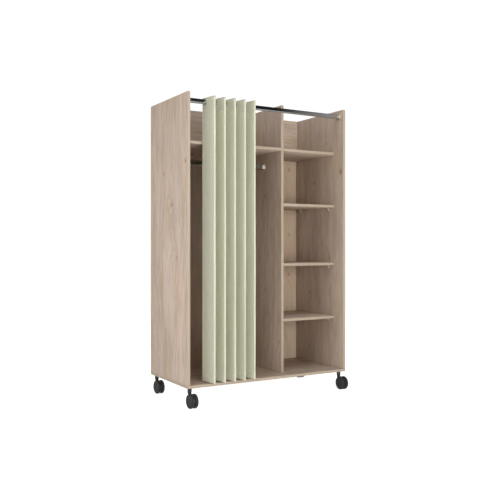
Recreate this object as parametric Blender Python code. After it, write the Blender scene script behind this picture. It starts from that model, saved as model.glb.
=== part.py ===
"""Curtain wardrobe on castors.

Two side boards and a divider stand on a full-width bottom board. The divider parts a
hanging space from a bay of shelves, and an eyelet curtain slides on a rod across the
open front. Everything rolls on four twin-wheel castors.

Metres, +Z up, front towards -Y. The origin is on the floor, under the middle of the
space that the wardrobe takes up, which counts what stands out in front of it.
"""

import math

import bmesh
import bpy
from mathutils import Matrix, Vector

# Carcass, outside sizes
WIDTH = 0.997
DEPTH = 0.483
HEIGHT = 1.600
BOARD = 0.015
BOARD_EASE = 0.0007
BACK_SHEET = 0.003
BACK_SHEET_INSET = 0.001

# Gap between pieces that touch, and round what is put in by hand
FIT = 0.0003
LOOSE = 0.0008

# Inside layout
BAY_WIDTH = 0.360
HAT_SPACE = 0.2365
BAY_SHELF_HEIGHT_SHARES = (0.2286, 0.4799, 0.7519)
SHELF_STEP_BACK = 0.015
CURTAIN_PLAY = 0.0005

# Shelf supports: a pin in the board and a three-cornered bracket below the shelf
SUPPORT_FRONT_INSET = 0.048
SUPPORT_BACK_INSET = 0.055
SUPPORT_REACH = 0.012
SUPPORT_DROP = 0.020
SUPPORT_LIP = 0.002
SUPPORT_BREADTH = 0.008
SUPPORT_PIN_R = 0.0025
SUPPORT_PIN_DROP = 0.008
SUPPORT_PIN_DEPTH = 0.009

# Curtain rod and the two cups that hold it
ROD_SETBACK = 0.0455
ROD_DROP = 0.036
ROD_R = 0.0125
ROD_WALL = 0.001
ROD_CUP_FLANGE_R = 0.021
ROD_CUP_FLANGE = 0.003
ROD_CUP_WALL = 0.003
ROD_CUP_LENGTH = 0.014

# Oval hanging rail and the two brackets that hold it
RAIL_SETBACK = 0.256
RAIL_DROP = 0.074
RAIL_BREADTH = 0.015
RAIL_HEIGHT = 0.030
RAIL_WALL = 0.001
RAIL_BRACKET_LIP = 0.006
RAIL_BRACKET_FLANGE = 0.0025
RAIL_BRACKET_WALL = 0.002
RAIL_BRACKET_LENGTH = 0.013

# Curtain: folds stand out in front of the rod and turn back just behind it
FOLDS = 5
FIRST_FOLD_INSET = 0.123
FOLD_PITCH = 0.0593
FOLD_REACH = 0.079
FOLD_NOSE_R = 0.0045
EYELET_SPREAD_SHARE = 0.304
CLOTH = 0.0016
CLOTH_HEADING = 0.004
CLOTH_FLOOR_GAP = 0.005
HEM_MARGIN = 0.0004

# Eyelets: two rims with the cloth between them
EYELET_PLAY = 0.0013
EYELET_BAND = 0.0037
EYELET_RIM = 0.001
EYELET_BARREL = 0.0012

# Castors
CASTOR_HEIGHT = 0.100
CASTOR_SIDE_INSET = 0.025
CASTOR_END_INSET = 0.030
CASTOR_TRAIL = 0.031
WHEEL_R = 0.0365
WHEEL_WIDTH = 0.019
WHEEL_DOME = 0.009
WHEEL_INNER_EASE = 0.002
WHEEL_HUB_R = 0.012
WHEEL_SIDE_GAP = 0.00075
AXLE_R = 0.004
WHEEL_CAP = 0.007
WEB = 0.0095
WEB_EDGE_GAP = 0.0045
NECK_WALL = 0.0045
NECK_GAP = 0.0015
NECK_FLOOR = 0.004
STEM_R = 0.005
STEM_COLLAR_LIP = 0.0035
STEM_COLLAR = 0.002
STEM_SKIN = 0.0025

# Sides of the round pieces, and pieces of an arc in the cloth
ROD_SIDES = 24
RAIL_SIDES = 16
EYELET_SIDES = 16
WHEEL_SIDES = 24
NECK_SIDES = 16
PIN_SIDES = 12
FOLD_STEPS = 6
DOME_STEPS = 3

# Overrun of a cutter past the face that it opens
OVERRUN = 0.002

# Edges between faces that meet at a sharper angle than this are drawn sharp
SMOOTH_ANGLE = math.radians(40)
FLAT_ANGLE = math.radians(1)

# Most that an edge may be eased, as a share of the board's thickness
MOST_EASE_SHARE = 0.25

FINISHES = {
    "oak": ("BCAB9B", 0.55, 0.0),
    "hardboard": ("B09A82", 0.65, 0.0),
    "chrome": ("C8C8C8", 0.18, 1.0),
    "steel": ("8E8E90", 0.35, 1.0),
    "cloth": ("BDBBA4", 0.90, 0.0),
    "clear plastic": ("D8CDBE", 0.40, 0.0),
    "dark plastic": ("3A3A3B", 0.45, 0.0),
}

# Places that follow from the sizes above
WHEEL_CORNER_R = WHEEL_R / math.cos(math.pi / WHEEL_SIDES)
FRONT_REACH = max(
    CASTOR_TRAIL + WHEEL_R - CASTOR_END_INSET,
    FOLD_REACH + CLOTH / 2 - ROD_SETBACK,
)
FRONT_Y = (FRONT_REACH - DEPTH) / 2
BACK_Y = FRONT_Y + DEPTH
BOARD_BACK_Y = BACK_Y - BACK_SHEET - FIT
LEFT_X = -WIDTH / 2
RIGHT_X = WIDTH / 2
LEFT_INNER_X = LEFT_X + BOARD
RIGHT_INNER_X = RIGHT_X - BOARD
DIVIDER_RIGHT_X = RIGHT_INNER_X - BAY_WIDTH
DIVIDER_LEFT_X = DIVIDER_RIGHT_X - BOARD
FLOOR_Z = CASTOR_HEIGHT + BOARD
TOP_SHELF_Z = HEIGHT - HAT_SPACE
ROD_Y = FRONT_Y + ROD_SETBACK
ROD_Z = HEIGHT - ROD_DROP
RAIL_Y = FRONT_Y + RAIL_SETBACK
RAIL_Z = TOP_SHELF_Z - BOARD - RAIL_DROP

# The eyelets hang on the rod, so they sit a little below its axis
EYELET_BORE_R = ROD_R + EYELET_PLAY
EYELET_R = EYELET_BORE_R + EYELET_BAND
EYELET_CORNER_R = EYELET_R / math.cos(math.pi / EYELET_SIDES)
EYELET_Z = ROD_Z - (EYELET_PLAY - FIT)
EYELET_HALF_WIDTH = CLOTH / 2 + FIT + EYELET_RIM
FIRST_FOLD_X = LEFT_INNER_X + FIRST_FOLD_INSET
EYELET_SPREAD = FOLD_PITCH * EYELET_SPREAD_SHARE

# A flat of the curtain leans so that it meets the fold's nose smoothly
NOSE_CENTRE_REACH = FOLD_REACH - FOLD_NOSE_R
FLAT_LEAN = math.atan2(EYELET_SPREAD, NOSE_CENTRE_REACH) - math.asin(
    FOLD_NOSE_R / math.hypot(EYELET_SPREAD, NOSE_CENTRE_REACH)
)
FLAT_BACK_LENGTH = EYELET_CORNER_R + HEM_MARGIN
TURN_HALF_WIDTH = FOLD_PITCH / 2 - EYELET_SPREAD - FLAT_BACK_LENGTH * math.sin(FLAT_LEAN)
TURN_R = TURN_HALF_WIDTH / math.cos(FLAT_LEAN)
TURN_CENTRE_BACK = FLAT_BACK_LENGTH * math.cos(FLAT_LEAN) - TURN_R * math.sin(FLAT_LEAN)
CURTAIN_BACK_REACH = TURN_CENTRE_BACK + TURN_R + CLOTH / 2

# The divider and the shelves stop behind the curtain
DIVIDER_FRONT_Y = ROD_Y + CURTAIN_BACK_REACH + CURTAIN_PLAY
BAY_SHELF_FRONT_Y = DIVIDER_FRONT_Y + SHELF_STEP_BACK

# Castor heights: the neck clears the wheels that turn beside it
NECK_R = STEM_R + NECK_WALL
NECK_TOP_Z = CASTOR_HEIGHT - FIT - STEM_COLLAR - FIT
NECK_BOTTOM_Z = (
    WHEEL_R + math.sqrt(WHEEL_CORNER_R**2 - (CASTOR_TRAIL - NECK_R) ** 2) + NECK_GAP
)


def clear_scene():
    for thing in list(bpy.data.objects):
        bpy.data.objects.remove(thing, do_unlink=True)


def linear(hex_colour):
    """An sRGB hex colour as Blender's linear RGBA."""
    shares = [int(hex_colour[i : i + 2], 16) / 255 for i in (0, 2, 4)]
    return [s / 12.92 if s <= 0.04045 else ((s + 0.055) / 1.055) ** 2.4 for s in shares] + [1.0]


def add_material(thing, finish):
    colour, roughness, metallic = FINISHES[finish]
    material = bpy.data.materials.new(thing.name)
    material.use_nodes = True
    shader = material.node_tree.nodes["Principled BSDF"]
    shader.inputs["Base Color"].default_value = linear(colour)
    shader.inputs["Roughness"].default_value = roughness
    shader.inputs["Metallic"].default_value = metallic
    material.diffuse_color = linear(colour)
    thing.data.materials.clear()
    thing.data.materials.append(material)


def mesh_from(bm, name):
    bmesh.ops.recalc_face_normals(bm, faces=bm.faces)
    mesh = bpy.data.meshes.new(name)
    bm.to_mesh(mesh)
    bm.free()
    return mesh


def place(name, mesh, location, finish, parent=None, turn_z=0.0):
    """A named object with its own mesh and material. A location is in world space."""
    thing = bpy.data.objects.new(name, mesh)
    bpy.context.scene.collection.objects.link(thing)
    thing.location = Vector(location)
    thing.rotation_euler.z = turn_z
    if parent is not None:
        thing.parent = parent
        thing.location = thing.location - parent.location
    add_material(thing, finish)
    return thing


def add_empty(name, location):
    empty = bpy.data.objects.new(name, None)
    bpy.context.scene.collection.objects.link(empty)
    empty.location = Vector(location)
    return empty


def add_helper(name, mesh, location=(0.0, 0.0, 0.0)):
    """An object that only shapes another one."""
    helper = bpy.data.objects.new(name, mesh)
    bpy.context.scene.collection.objects.link(helper)
    helper.location = Vector(location)
    helper.hide_render = True
    helper.display_type = "WIRE"
    return helper


def add_boolean(thing, helper, operation):
    modifier = thing.modifiers.new(helper.name, "BOOLEAN")
    modifier.operation = operation
    modifier.solver = "EXACT"
    modifier.object = helper


def shade_round(mesh):
    mesh.shade_smooth()
    mesh.set_sharp_from_angle(angle=SMOOTH_ANGLE)


def baked(thing, helpers):
    """The mesh that the object's modifiers make. The object and its helpers go."""
    graph = bpy.context.evaluated_depsgraph_get()
    graph.update()
    mesh = bpy.data.meshes.new_from_object(thing.evaluated_get(graph))
    shade_round(mesh)
    for used in [thing, *helpers]:
        bpy.data.objects.remove(used, do_unlink=True)
    return mesh


def ring_points(radius, sides, core=0.0):
    """A circle with flats facing along both axes, or an oval: a circle parted by a core."""
    corner_r = radius / math.cos(math.pi / sides)
    points = []
    for i in range(sides):
        angle = 2 * math.pi * (i + 0.5) / sides
        lift = math.copysign(core / 2, math.sin(angle))
        points.append((corner_r * math.cos(angle), corner_r * math.sin(angle) + lift))
    return points


def turned(profile, sides, core=0.0, closed=False):
    """A solid along X from (radius, x) pairs. A closed profile leaves its middle open."""
    bm = bmesh.new()
    loops = []
    for radius, x in profile:
        loops.append([bm.verts.new((x, y, z)) for y, z in ring_points(radius, sides, core)])
    steps = list(zip(loops, loops[1:]))
    if closed:
        steps.append((loops[-1], loops[0]))
    else:
        bm.faces.new(loops[0])
        bm.faces.new(loops[-1])
    for near, far in steps:
        for i in range(sides):
            j = (i + 1) % sides
            bm.faces.new((near[i], near[j], far[j], far[i]))
    return bm


def stand_up(bm):
    """Turns a solid made along X to stand along Z."""
    bmesh.ops.rotate(bm, cent=(0, 0, 0), matrix=Matrix.Rotation(-math.pi / 2, 3, "Y"), verts=bm.verts)
    return bm


def add_bar(bm, start, end, radius, sides):
    """Adds a round bar from start to end to the mesh."""
    start, end = Vector(start), Vector(end)
    along = end - start
    turn = along.to_track_quat("Z", "Y").to_matrix().to_4x4()
    half_step = Matrix.Rotation(math.pi / sides, 4, "Z")
    corner_r = radius / math.cos(math.pi / sides)
    bmesh.ops.create_cone(
        bm,
        cap_ends=True,
        segments=sides,
        radius1=corner_r,
        radius2=corner_r,
        depth=along.length,
        matrix=Matrix.Translation((start + end) / 2) @ turn @ half_step,
    )


def board(name, low, high, finish="oak", ease=BOARD_EASE):
    """A board between two corners, with softened edges."""
    low, high = Vector(low), Vector(high)
    bm = bmesh.new()
    bmesh.ops.create_cube(bm, size=1.0)
    bmesh.ops.scale(bm, vec=high - low, verts=bm.verts)
    thing = place(name, mesh_from(bm, name), (low + high) / 2, finish)
    bevel = thing.modifiers.new("eased edges", "BEVEL")
    bevel.width = min(ease, min(high - low) * MOST_EASE_SHARE)
    bevel.segments = 1
    return thing


def bay_shelf_bottoms():
    """Undersides of the bay's loose shelves, from the lowest up."""
    room = TOP_SHELF_Z - BOARD - FLOOR_Z
    return [FLOOR_Z + room * share for share in BAY_SHELF_HEIGHT_SHARES]


def support_places():
    """(name, x of the board's face, y, underside of the shelf, side it faces) of each one."""
    front_y = BAY_SHELF_FRONT_Y + SUPPORT_FRONT_INSET
    back_y = BOARD_BACK_Y - SUPPORT_BACK_INSET
    places = []
    for level, bottom in zip(("lower", "middle", "upper"), bay_shelf_bottoms()):
        for side, x, facing in (("left", DIVIDER_RIGHT_X, 1), ("right", RIGHT_INNER_X, -1)):
            for end, y in (("front", front_y), ("back", back_y)):
                name = f"{level}_shelf_support_{side}_{end}"
                places.append((name, x, y, bottom, facing))
    return places


def castor_places():
    """(name, x, y) of each castor's stem."""
    x = WIDTH / 2 - CASTOR_SIDE_INSET
    front_y = FRONT_Y + CASTOR_END_INSET
    back_y = BACK_Y - CASTOR_END_INSET
    return [
        ("front_left", -x, front_y),
        ("front_right", x, front_y),
        ("back_left", -x, back_y),
        ("back_right", x, back_y),
    ]


def drill(thing, bars, sides):
    """Cuts round holes, each a bar from start to end with a radius."""
    bm = bmesh.new()
    for start, end, radius in bars:
        add_bar(bm, start, end, radius, sides)
    helper = add_helper(f"{thing.name} holes", mesh_from(bm, "holes"))
    add_boolean(thing, helper, "DIFFERENCE")


def support_holes(face_x):
    """Bars that open the support holes in the board face at face_x."""
    bars = []
    for _, x, y, bottom, facing in support_places():
        if x == face_x:
            z = bottom - SUPPORT_PIN_DROP
            mouth = (x + facing * OVERRUN, y, z)
            end = (x - facing * (SUPPORT_PIN_DEPTH + FIT), y, z)
            bars.append((mouth, end, SUPPORT_PIN_R + FIT))
    return bars


def build_carcass():
    bottom = board(
        "bottom_board",
        (LEFT_X, FRONT_Y, CASTOR_HEIGHT),
        (RIGHT_X, BOARD_BACK_Y, FLOOR_Z),
    )
    bars = []
    for _, x, y in castor_places():
        mouth = (x, y, CASTOR_HEIGHT - OVERRUN)
        bars.append((mouth, (x, y, FLOOR_Z - STEM_SKIN + FIT), STEM_R + FIT))
    drill(bottom, bars, NECK_SIDES)

    foot_z = FLOOR_Z + FIT
    board("left_side_board", (LEFT_X, FRONT_Y, foot_z), (LEFT_INNER_X, BOARD_BACK_Y, HEIGHT))
    right = board(
        "right_side_board",
        (RIGHT_INNER_X, FRONT_Y, foot_z),
        (RIGHT_X, BOARD_BACK_Y, HEIGHT),
    )
    divider = board(
        "divider",
        (DIVIDER_LEFT_X, DIVIDER_FRONT_Y, foot_z),
        (DIVIDER_RIGHT_X, BOARD_BACK_Y, HEIGHT),
    )
    drill(right, support_holes(RIGHT_INNER_X), PIN_SIDES)
    drill(divider, support_holes(DIVIDER_RIGHT_X), PIN_SIDES)


def build_fixed_shelves():
    """The two top shelves and the rail boards that stand on them at the back."""
    bays = (
        ("left", LEFT_INNER_X, DIVIDER_LEFT_X, DIVIDER_FRONT_Y),
        ("right", DIVIDER_RIGHT_X, RIGHT_INNER_X, BAY_SHELF_FRONT_Y),
    )
    for side, x0, x1, front_y in bays:
        board(
            f"{side}_top_shelf",
            (x0 + FIT, front_y, TOP_SHELF_Z - BOARD),
            (x1 - FIT, BOARD_BACK_Y, TOP_SHELF_Z),
        )
        board(
            f"{side}_back_rail",
            (x0 + FIT, BOARD_BACK_Y - BOARD, TOP_SHELF_Z + FIT),
            (x1 - FIT, BOARD_BACK_Y, HEIGHT),
        )


def build_loose_shelves():
    for level, bottom in zip(("lower", "middle", "upper"), bay_shelf_bottoms()):
        board(
            f"{level}_bay_shelf",
            (DIVIDER_RIGHT_X + LOOSE, BAY_SHELF_FRONT_Y, bottom),
            (RIGHT_INNER_X - LOOSE, BOARD_BACK_Y - LOOSE, bottom + BOARD),
        )


def build_back_sheets():
    """Two hardboard sheets that meet behind the divider."""
    joint_x = (DIVIDER_LEFT_X + DIVIDER_RIGHT_X) / 2
    z0 = CASTOR_HEIGHT + BACK_SHEET_INSET
    z1 = HEIGHT - BACK_SHEET_INSET
    spans = (
        ("left_back_sheet", LEFT_X + BACK_SHEET_INSET, joint_x - FIT / 2),
        ("right_back_sheet", joint_x + FIT / 2, RIGHT_X - BACK_SHEET_INSET),
    )
    for name, x0, x1 in spans:
        board(name, (x0, BACK_Y - BACK_SHEET, z0), (x1, BACK_Y, z1), "hardboard", FIT)


def support_mesh():
    """A shelf support on a face at x = 0 that looks towards +X, below a shelf at z = 0."""
    outline = [
        (FIT, -FIT),
        (SUPPORT_REACH, -FIT),
        (SUPPORT_REACH, -FIT - SUPPORT_LIP),
        (FIT + SUPPORT_LIP, -SUPPORT_DROP),
        (FIT, -SUPPORT_DROP),
    ]
    bm = bmesh.new()
    face = bm.faces.new([bm.verts.new((x, -SUPPORT_BREADTH / 2, z)) for x, z in outline])
    grown = bmesh.ops.extrude_face_region(bm, geom=[face])
    verts = [v for v in grown["geom"] if isinstance(v, bmesh.types.BMVert)]
    bmesh.ops.translate(bm, vec=(0, SUPPORT_BREADTH, 0), verts=verts)
    bracket = add_helper("bracket", mesh_from(bm, "bracket"))

    bm = bmesh.new()
    start = (-SUPPORT_PIN_DEPTH, 0, -SUPPORT_PIN_DROP)
    end = (SUPPORT_LIP, 0, -SUPPORT_PIN_DROP)
    add_bar(bm, start, end, SUPPORT_PIN_R, PIN_SIDES)
    pin = add_helper("pin", mesh_from(bm, "pin"))
    add_boolean(bracket, pin, "UNION")
    return baked(bracket, [pin])


def build_supports():
    mesh = support_mesh()
    for name, x, y, bottom, facing in support_places():
        turn = 0.0 if facing > 0 else math.pi
        place(name, mesh.copy(), (x, y, bottom), "clear plastic", turn_z=turn)


def build_curtain_rod():
    flange_x = RIGHT_INNER_X - FIT - ROD_CUP_FLANGE
    half = flange_x - FIT
    inner_r = ROD_R - ROD_WALL
    profile = [(ROD_R, -half), (ROD_R, half), (inner_r, half), (inner_r, -half)]
    mesh = mesh_from(turned(profile, ROD_SIDES, closed=True), "curtain_rod")
    shade_round(mesh)
    place("curtain_rod", mesh, (0, ROD_Y, ROD_Z), "chrome")

    bore_r = ROD_R + FIT
    collar_r = bore_r + ROD_CUP_WALL
    profile = [
        (ROD_CUP_FLANGE_R, 0.0),
        (ROD_CUP_FLANGE_R, ROD_CUP_FLANGE),
        (collar_r, ROD_CUP_FLANGE),
        (collar_r, ROD_CUP_LENGTH),
        (bore_r, ROD_CUP_LENGTH),
        (bore_r, ROD_CUP_FLANGE),
    ]
    cup = mesh_from(turned(profile, ROD_SIDES), "rod_cup")
    shade_round(cup)
    place("left_rod_cup", cup, (LEFT_INNER_X + FIT, ROD_Y, ROD_Z), "chrome")
    place(
        "right_rod_cup",
        cup.copy(),
        (RIGHT_INNER_X - FIT, ROD_Y, ROD_Z),
        "chrome",
        turn_z=math.pi,
    )


def build_hanging_rail():
    left_x = LEFT_INNER_X + FIT
    right_x = DIVIDER_LEFT_X - FIT
    middle_x = (left_x + right_x) / 2
    half = (right_x - left_x) / 2 - RAIL_BRACKET_FLANGE - FIT
    outer_r = RAIL_BREADTH / 2
    inner_r = outer_r - RAIL_WALL
    core = RAIL_HEIGHT - RAIL_BREADTH
    profile = [(outer_r, -half), (outer_r, half), (inner_r, half), (inner_r, -half)]
    mesh = mesh_from(turned(profile, RAIL_SIDES, core, closed=True), "hanging_rail")
    shade_round(mesh)
    place("hanging_rail", mesh, (middle_x, RAIL_Y, RAIL_Z), "chrome")

    bore_r = outer_r + FIT
    collar_r = bore_r + RAIL_BRACKET_WALL
    flange_r = collar_r + RAIL_BRACKET_LIP
    profile = [
        (flange_r, 0.0),
        (flange_r, RAIL_BRACKET_FLANGE),
        (collar_r, RAIL_BRACKET_FLANGE),
        (collar_r, RAIL_BRACKET_LENGTH),
        (bore_r, RAIL_BRACKET_LENGTH),
        (bore_r, RAIL_BRACKET_FLANGE),
    ]
    bracket = mesh_from(turned(profile, RAIL_SIDES, core), "rail_bracket")
    shade_round(bracket)
    place("left_rail_bracket", bracket, (left_x, RAIL_Y, RAIL_Z), "chrome")
    place(
        "right_rail_bracket",
        bracket.copy(),
        (right_x, RAIL_Y, RAIL_Z),
        "chrome",
        turn_z=math.pi,
    )


def eyelet_places():
    """(x, lean about Z) of each eyelet, two to a fold."""
    places = []
    for fold in range(FOLDS):
        fold_x = FIRST_FOLD_X + fold * FOLD_PITCH
        places.append((fold_x - EYELET_SPREAD, FLAT_LEAN))
        places.append((fold_x + EYELET_SPREAD, -FLAT_LEAN))
    return places


def eyelet_mesh():
    """Two rims on a short barrel, with a groove between them for the cloth."""
    half = EYELET_HALF_WIDTH
    groove = half - EYELET_RIM
    groove_r = EYELET_BORE_R + EYELET_BARREL
    profile = [
        (EYELET_BORE_R, -half),
        (EYELET_R, -half),
        (EYELET_R, -groove),
        (groove_r, -groove),
        (groove_r, groove),
        (EYELET_R, groove),
        (EYELET_R, half),
        (EYELET_BORE_R, half),
    ]
    mesh = mesh_from(turned(profile, EYELET_SIDES, closed=True), "eyelet")
    shade_round(mesh)
    return mesh


def arc(centre_x, centre_y, radius, start, end, steps):
    return [
        (
            centre_x + radius * math.cos(start + (end - start) * i / steps),
            centre_y + radius * math.sin(start + (end - start) * i / steps),
        )
        for i in range(steps + 1)
    ]


def cloth_path():
    """The middle of the cloth in plan, as (x, y) from the first fold and the rod's axis."""
    back_x = EYELET_SPREAD + FLAT_BACK_LENGTH * math.sin(FLAT_LEAN)
    back_y = FLAT_BACK_LENGTH * math.cos(FLAT_LEAN)
    points = [(-back_x, back_y)]
    for fold in range(FOLDS):
        fold_x = fold * FOLD_PITCH
        nose_start = math.pi + FLAT_LEAN
        nose_end = 2 * math.pi - FLAT_LEAN
        points += arc(
            fold_x, -NOSE_CENTRE_REACH, FOLD_NOSE_R, nose_start, nose_end, FOLD_STEPS
        )
        if fold < FOLDS - 1:
            turn_x = fold_x + FOLD_PITCH / 2
            points += arc(
                turn_x, TURN_CENTRE_BACK, TURN_R, math.pi - FLAT_LEAN, FLAT_LEAN, FOLD_STEPS
            )
    points.append(((FOLDS - 1) * FOLD_PITCH + back_x, back_y))
    return points


def offset_line(points, distance):
    """The line at this distance to the left of an open line, mitred at its corners."""
    line = [Vector(p) for p in points]
    ways = [(b - a).normalized() for a, b in zip(line, line[1:])]
    shifted = []
    for i, point in enumerate(line):
        before = ways[max(i - 1, 0)]
        after = ways[min(i, len(ways) - 1)]
        across = Vector((-(before + after).y, (before + after).x)).normalized()
        reach = distance / across.dot(Vector((-after.y, after.x)))
        shifted.append(point + across * reach)
    return shifted


def cloth_mesh(bottom, top):
    """The folded cloth between two heights, as a closed sheet with thickness."""
    path = cloth_path()
    sides = [offset_line(path, CLOTH / 2), offset_line(path, -CLOTH / 2)]
    bm = bmesh.new()
    rows = [[bm.verts.new((p.x, p.y, z)) for p in side] for z in (bottom, top) for side in sides]
    low_left, low_right, high_left, high_right = rows
    for near, far in (
        (low_left, high_left),
        (low_right, high_right),
        (low_left, low_right),
        (high_left, high_right),
    ):
        for i in range(len(path) - 1):
            bm.faces.new((near[i], near[i + 1], far[i + 1], far[i]))
    for i in (0, -1):
        bm.faces.new((low_left[i], low_right[i], high_right[i], high_left[i]))
    return mesh_from(bm, "curtain")


def build_curtain():
    """Eyelets on the rod, and the cloth that they carry, hung from the first eyelet's place."""
    places = eyelet_places()
    carriage = add_empty("curtain_carriage", (places[0][0], ROD_Y, EYELET_Z))
    mesh = eyelet_mesh()
    holes = bmesh.new()
    hole_r = EYELET_BORE_R + EYELET_BARREL + FIT
    for i, (x, lean) in enumerate(places):
        name = f"eyelet_{i + 1:02d}"
        place(name, mesh.copy(), (x, ROD_Y, EYELET_Z), "chrome", carriage, lean)
        across = Vector((math.cos(lean), math.sin(lean), 0)) * (EYELET_HALF_WIDTH + OVERRUN)
        centre = Vector((x, ROD_Y, EYELET_Z))
        add_bar(holes, centre - across, centre + across, hole_r, EYELET_SIDES)
    cutter = add_helper("eyelet holes", mesh_from(holes, "eyelet holes"))

    bottom = FLOOR_Z + CLOTH_FLOOR_GAP - EYELET_Z
    mesh = cloth_mesh(bottom, EYELET_R + CLOTH_HEADING)
    mesh.set_sharp_from_angle(angle=SMOOTH_ANGLE)
    origin = (FIRST_FOLD_X, ROD_Y, EYELET_Z)
    cloth = place("curtain", mesh, origin, "cloth", carriage)
    add_boolean(cloth, cutter, "DIFFERENCE")


def stem_mesh():
    """A steel pin with a collar, from the board's hole down into the castor's neck."""
    collar_top = CASTOR_HEIGHT - FIT
    profile = [
        (STEM_R, NECK_BOTTOM_Z + NECK_FLOOR + FIT),
        (STEM_R, collar_top - STEM_COLLAR),
        (STEM_R + STEM_COLLAR_LIP, collar_top - STEM_COLLAR),
        (STEM_R + STEM_COLLAR_LIP, collar_top),
        (STEM_R, collar_top),
        (STEM_R, FLOOR_Z - STEM_SKIN),
    ]
    mesh = mesh_from(stand_up(turned(profile, NECK_SIDES)), "castor_stem")
    shade_round(mesh)
    return mesh


def fork_mesh():
    """Neck, web between the wheels and axle in one moulding, about the swivel axis at z = 0."""
    bm = bmesh.new()
    web_r = WHEEL_R - WEB_EDGE_GAP
    outline = [(-CASTOR_TRAIL + y, WHEEL_R + z) for y, z in ring_points(web_r, WHEEL_SIDES)]
    outline += [(side * NECK_R, NECK_BOTTOM_Z + NECK_FLOOR) for side in (-1, 1)]
    outline += [(NECK_R, NECK_BOTTOM_Z)]
    for x in (-WEB / 2, WEB / 2):
        for y, z in outline:
            bm.verts.new((x, y, z))
    hull = bmesh.ops.convex_hull(bm, input=bm.verts)
    inside = [v for v in hull["geom_interior"] if isinstance(v, bmesh.types.BMVert)]
    bmesh.ops.delete(bm, geom=inside, context="VERTS")
    bmesh.ops.dissolve_limit(bm, angle_limit=FLAT_ANGLE, verts=bm.verts, edges=bm.edges)
    web = add_helper("web", mesh_from(bm, "web"))

    bm = bmesh.new()
    add_bar(bm, (0, 0, NECK_BOTTOM_Z), (0, 0, NECK_TOP_Z), NECK_R, NECK_SIDES)
    neck = add_helper("neck", mesh_from(bm, "neck"))

    bm = bmesh.new()
    reach = WEB / 2 + WHEEL_SIDE_GAP + WHEEL_WIDTH - WHEEL_CAP - FIT
    y = -CASTOR_TRAIL
    add_bar(bm, (-reach, y, WHEEL_R), (reach, y, WHEEL_R), AXLE_R, PIN_SIDES)
    axle = add_helper("axle", mesh_from(bm, "axle"))

    bm = bmesh.new()
    bore_end = (0, 0, NECK_BOTTOM_Z + NECK_FLOOR)
    add_bar(bm, bore_end, (0, 0, NECK_TOP_Z + OVERRUN), STEM_R + FIT, NECK_SIDES)
    bore = add_helper("bore", mesh_from(bm, "bore"))

    add_boolean(web, neck, "UNION")
    add_boolean(web, axle, "UNION")
    add_boolean(web, bore, "DIFFERENCE")
    return baked(web, [neck, axle, bore])


def wheel_mesh():
    """A wheel on its axle's line, from its inner face at x = 0 out to a domed face."""
    tread_end = WHEEL_WIDTH - WHEEL_DOME
    profile = [
        (AXLE_R + FIT, WHEEL_WIDTH - WHEEL_CAP),
        (AXLE_R + FIT, 0.0),
        (WHEEL_R - WHEEL_INNER_EASE, 0.0),
        (WHEEL_R, WHEEL_INNER_EASE),
        (WHEEL_R, tread_end),
    ]
    for i in range(1, DOME_STEPS + 1):
        angle = math.pi / 2 * i / DOME_STEPS
        radius = WHEEL_HUB_R + (WHEEL_R - WHEEL_HUB_R) * math.cos(angle)
        profile.append((radius, tread_end + WHEEL_DOME * math.sin(angle)))
    mesh = mesh_from(turned(profile, WHEEL_SIDES), "castor_wheel")
    shade_round(mesh)
    return mesh


def build_castors():
    stem, fork, wheel = stem_mesh(), fork_mesh(), wheel_mesh()
    wheel_x = WEB / 2 + WHEEL_SIDE_GAP
    for name, x, y in castor_places():
        place(f"{name}_castor_stem", stem.copy(), (x, y, 0), "steel")
        swivel = add_empty(f"{name}_castor_swivel", (x, y, 0))
        place(f"{name}_castor_fork", fork.copy(), (x, y, 0), "dark plastic", swivel)
        for side, facing in (("left", -1), ("right", 1)):
            centre = (x + facing * wheel_x, y - CASTOR_TRAIL, WHEEL_R)
            turn = 0.0 if facing > 0 else math.pi
            node = f"{name}_castor_{side}_wheel"
            place(node, wheel.copy(), centre, "dark plastic", swivel, turn)


def main():
    clear_scene()
    build_carcass()
    build_fixed_shelves()
    build_loose_shelves()
    build_back_sheets()
    build_supports()
    build_curtain_rod()
    build_hanging_rail()
    build_curtain()
    build_castors()


main()
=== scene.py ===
"""Curtain wardrobe on castors: the finish of every surface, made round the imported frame.

Metres, +Z up, front towards -Y, in the frame's own axes. Each operator makes one piece, or
one group of like pieces, with its place in its mesh.
"""

import functools
import math
import random
import types

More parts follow.
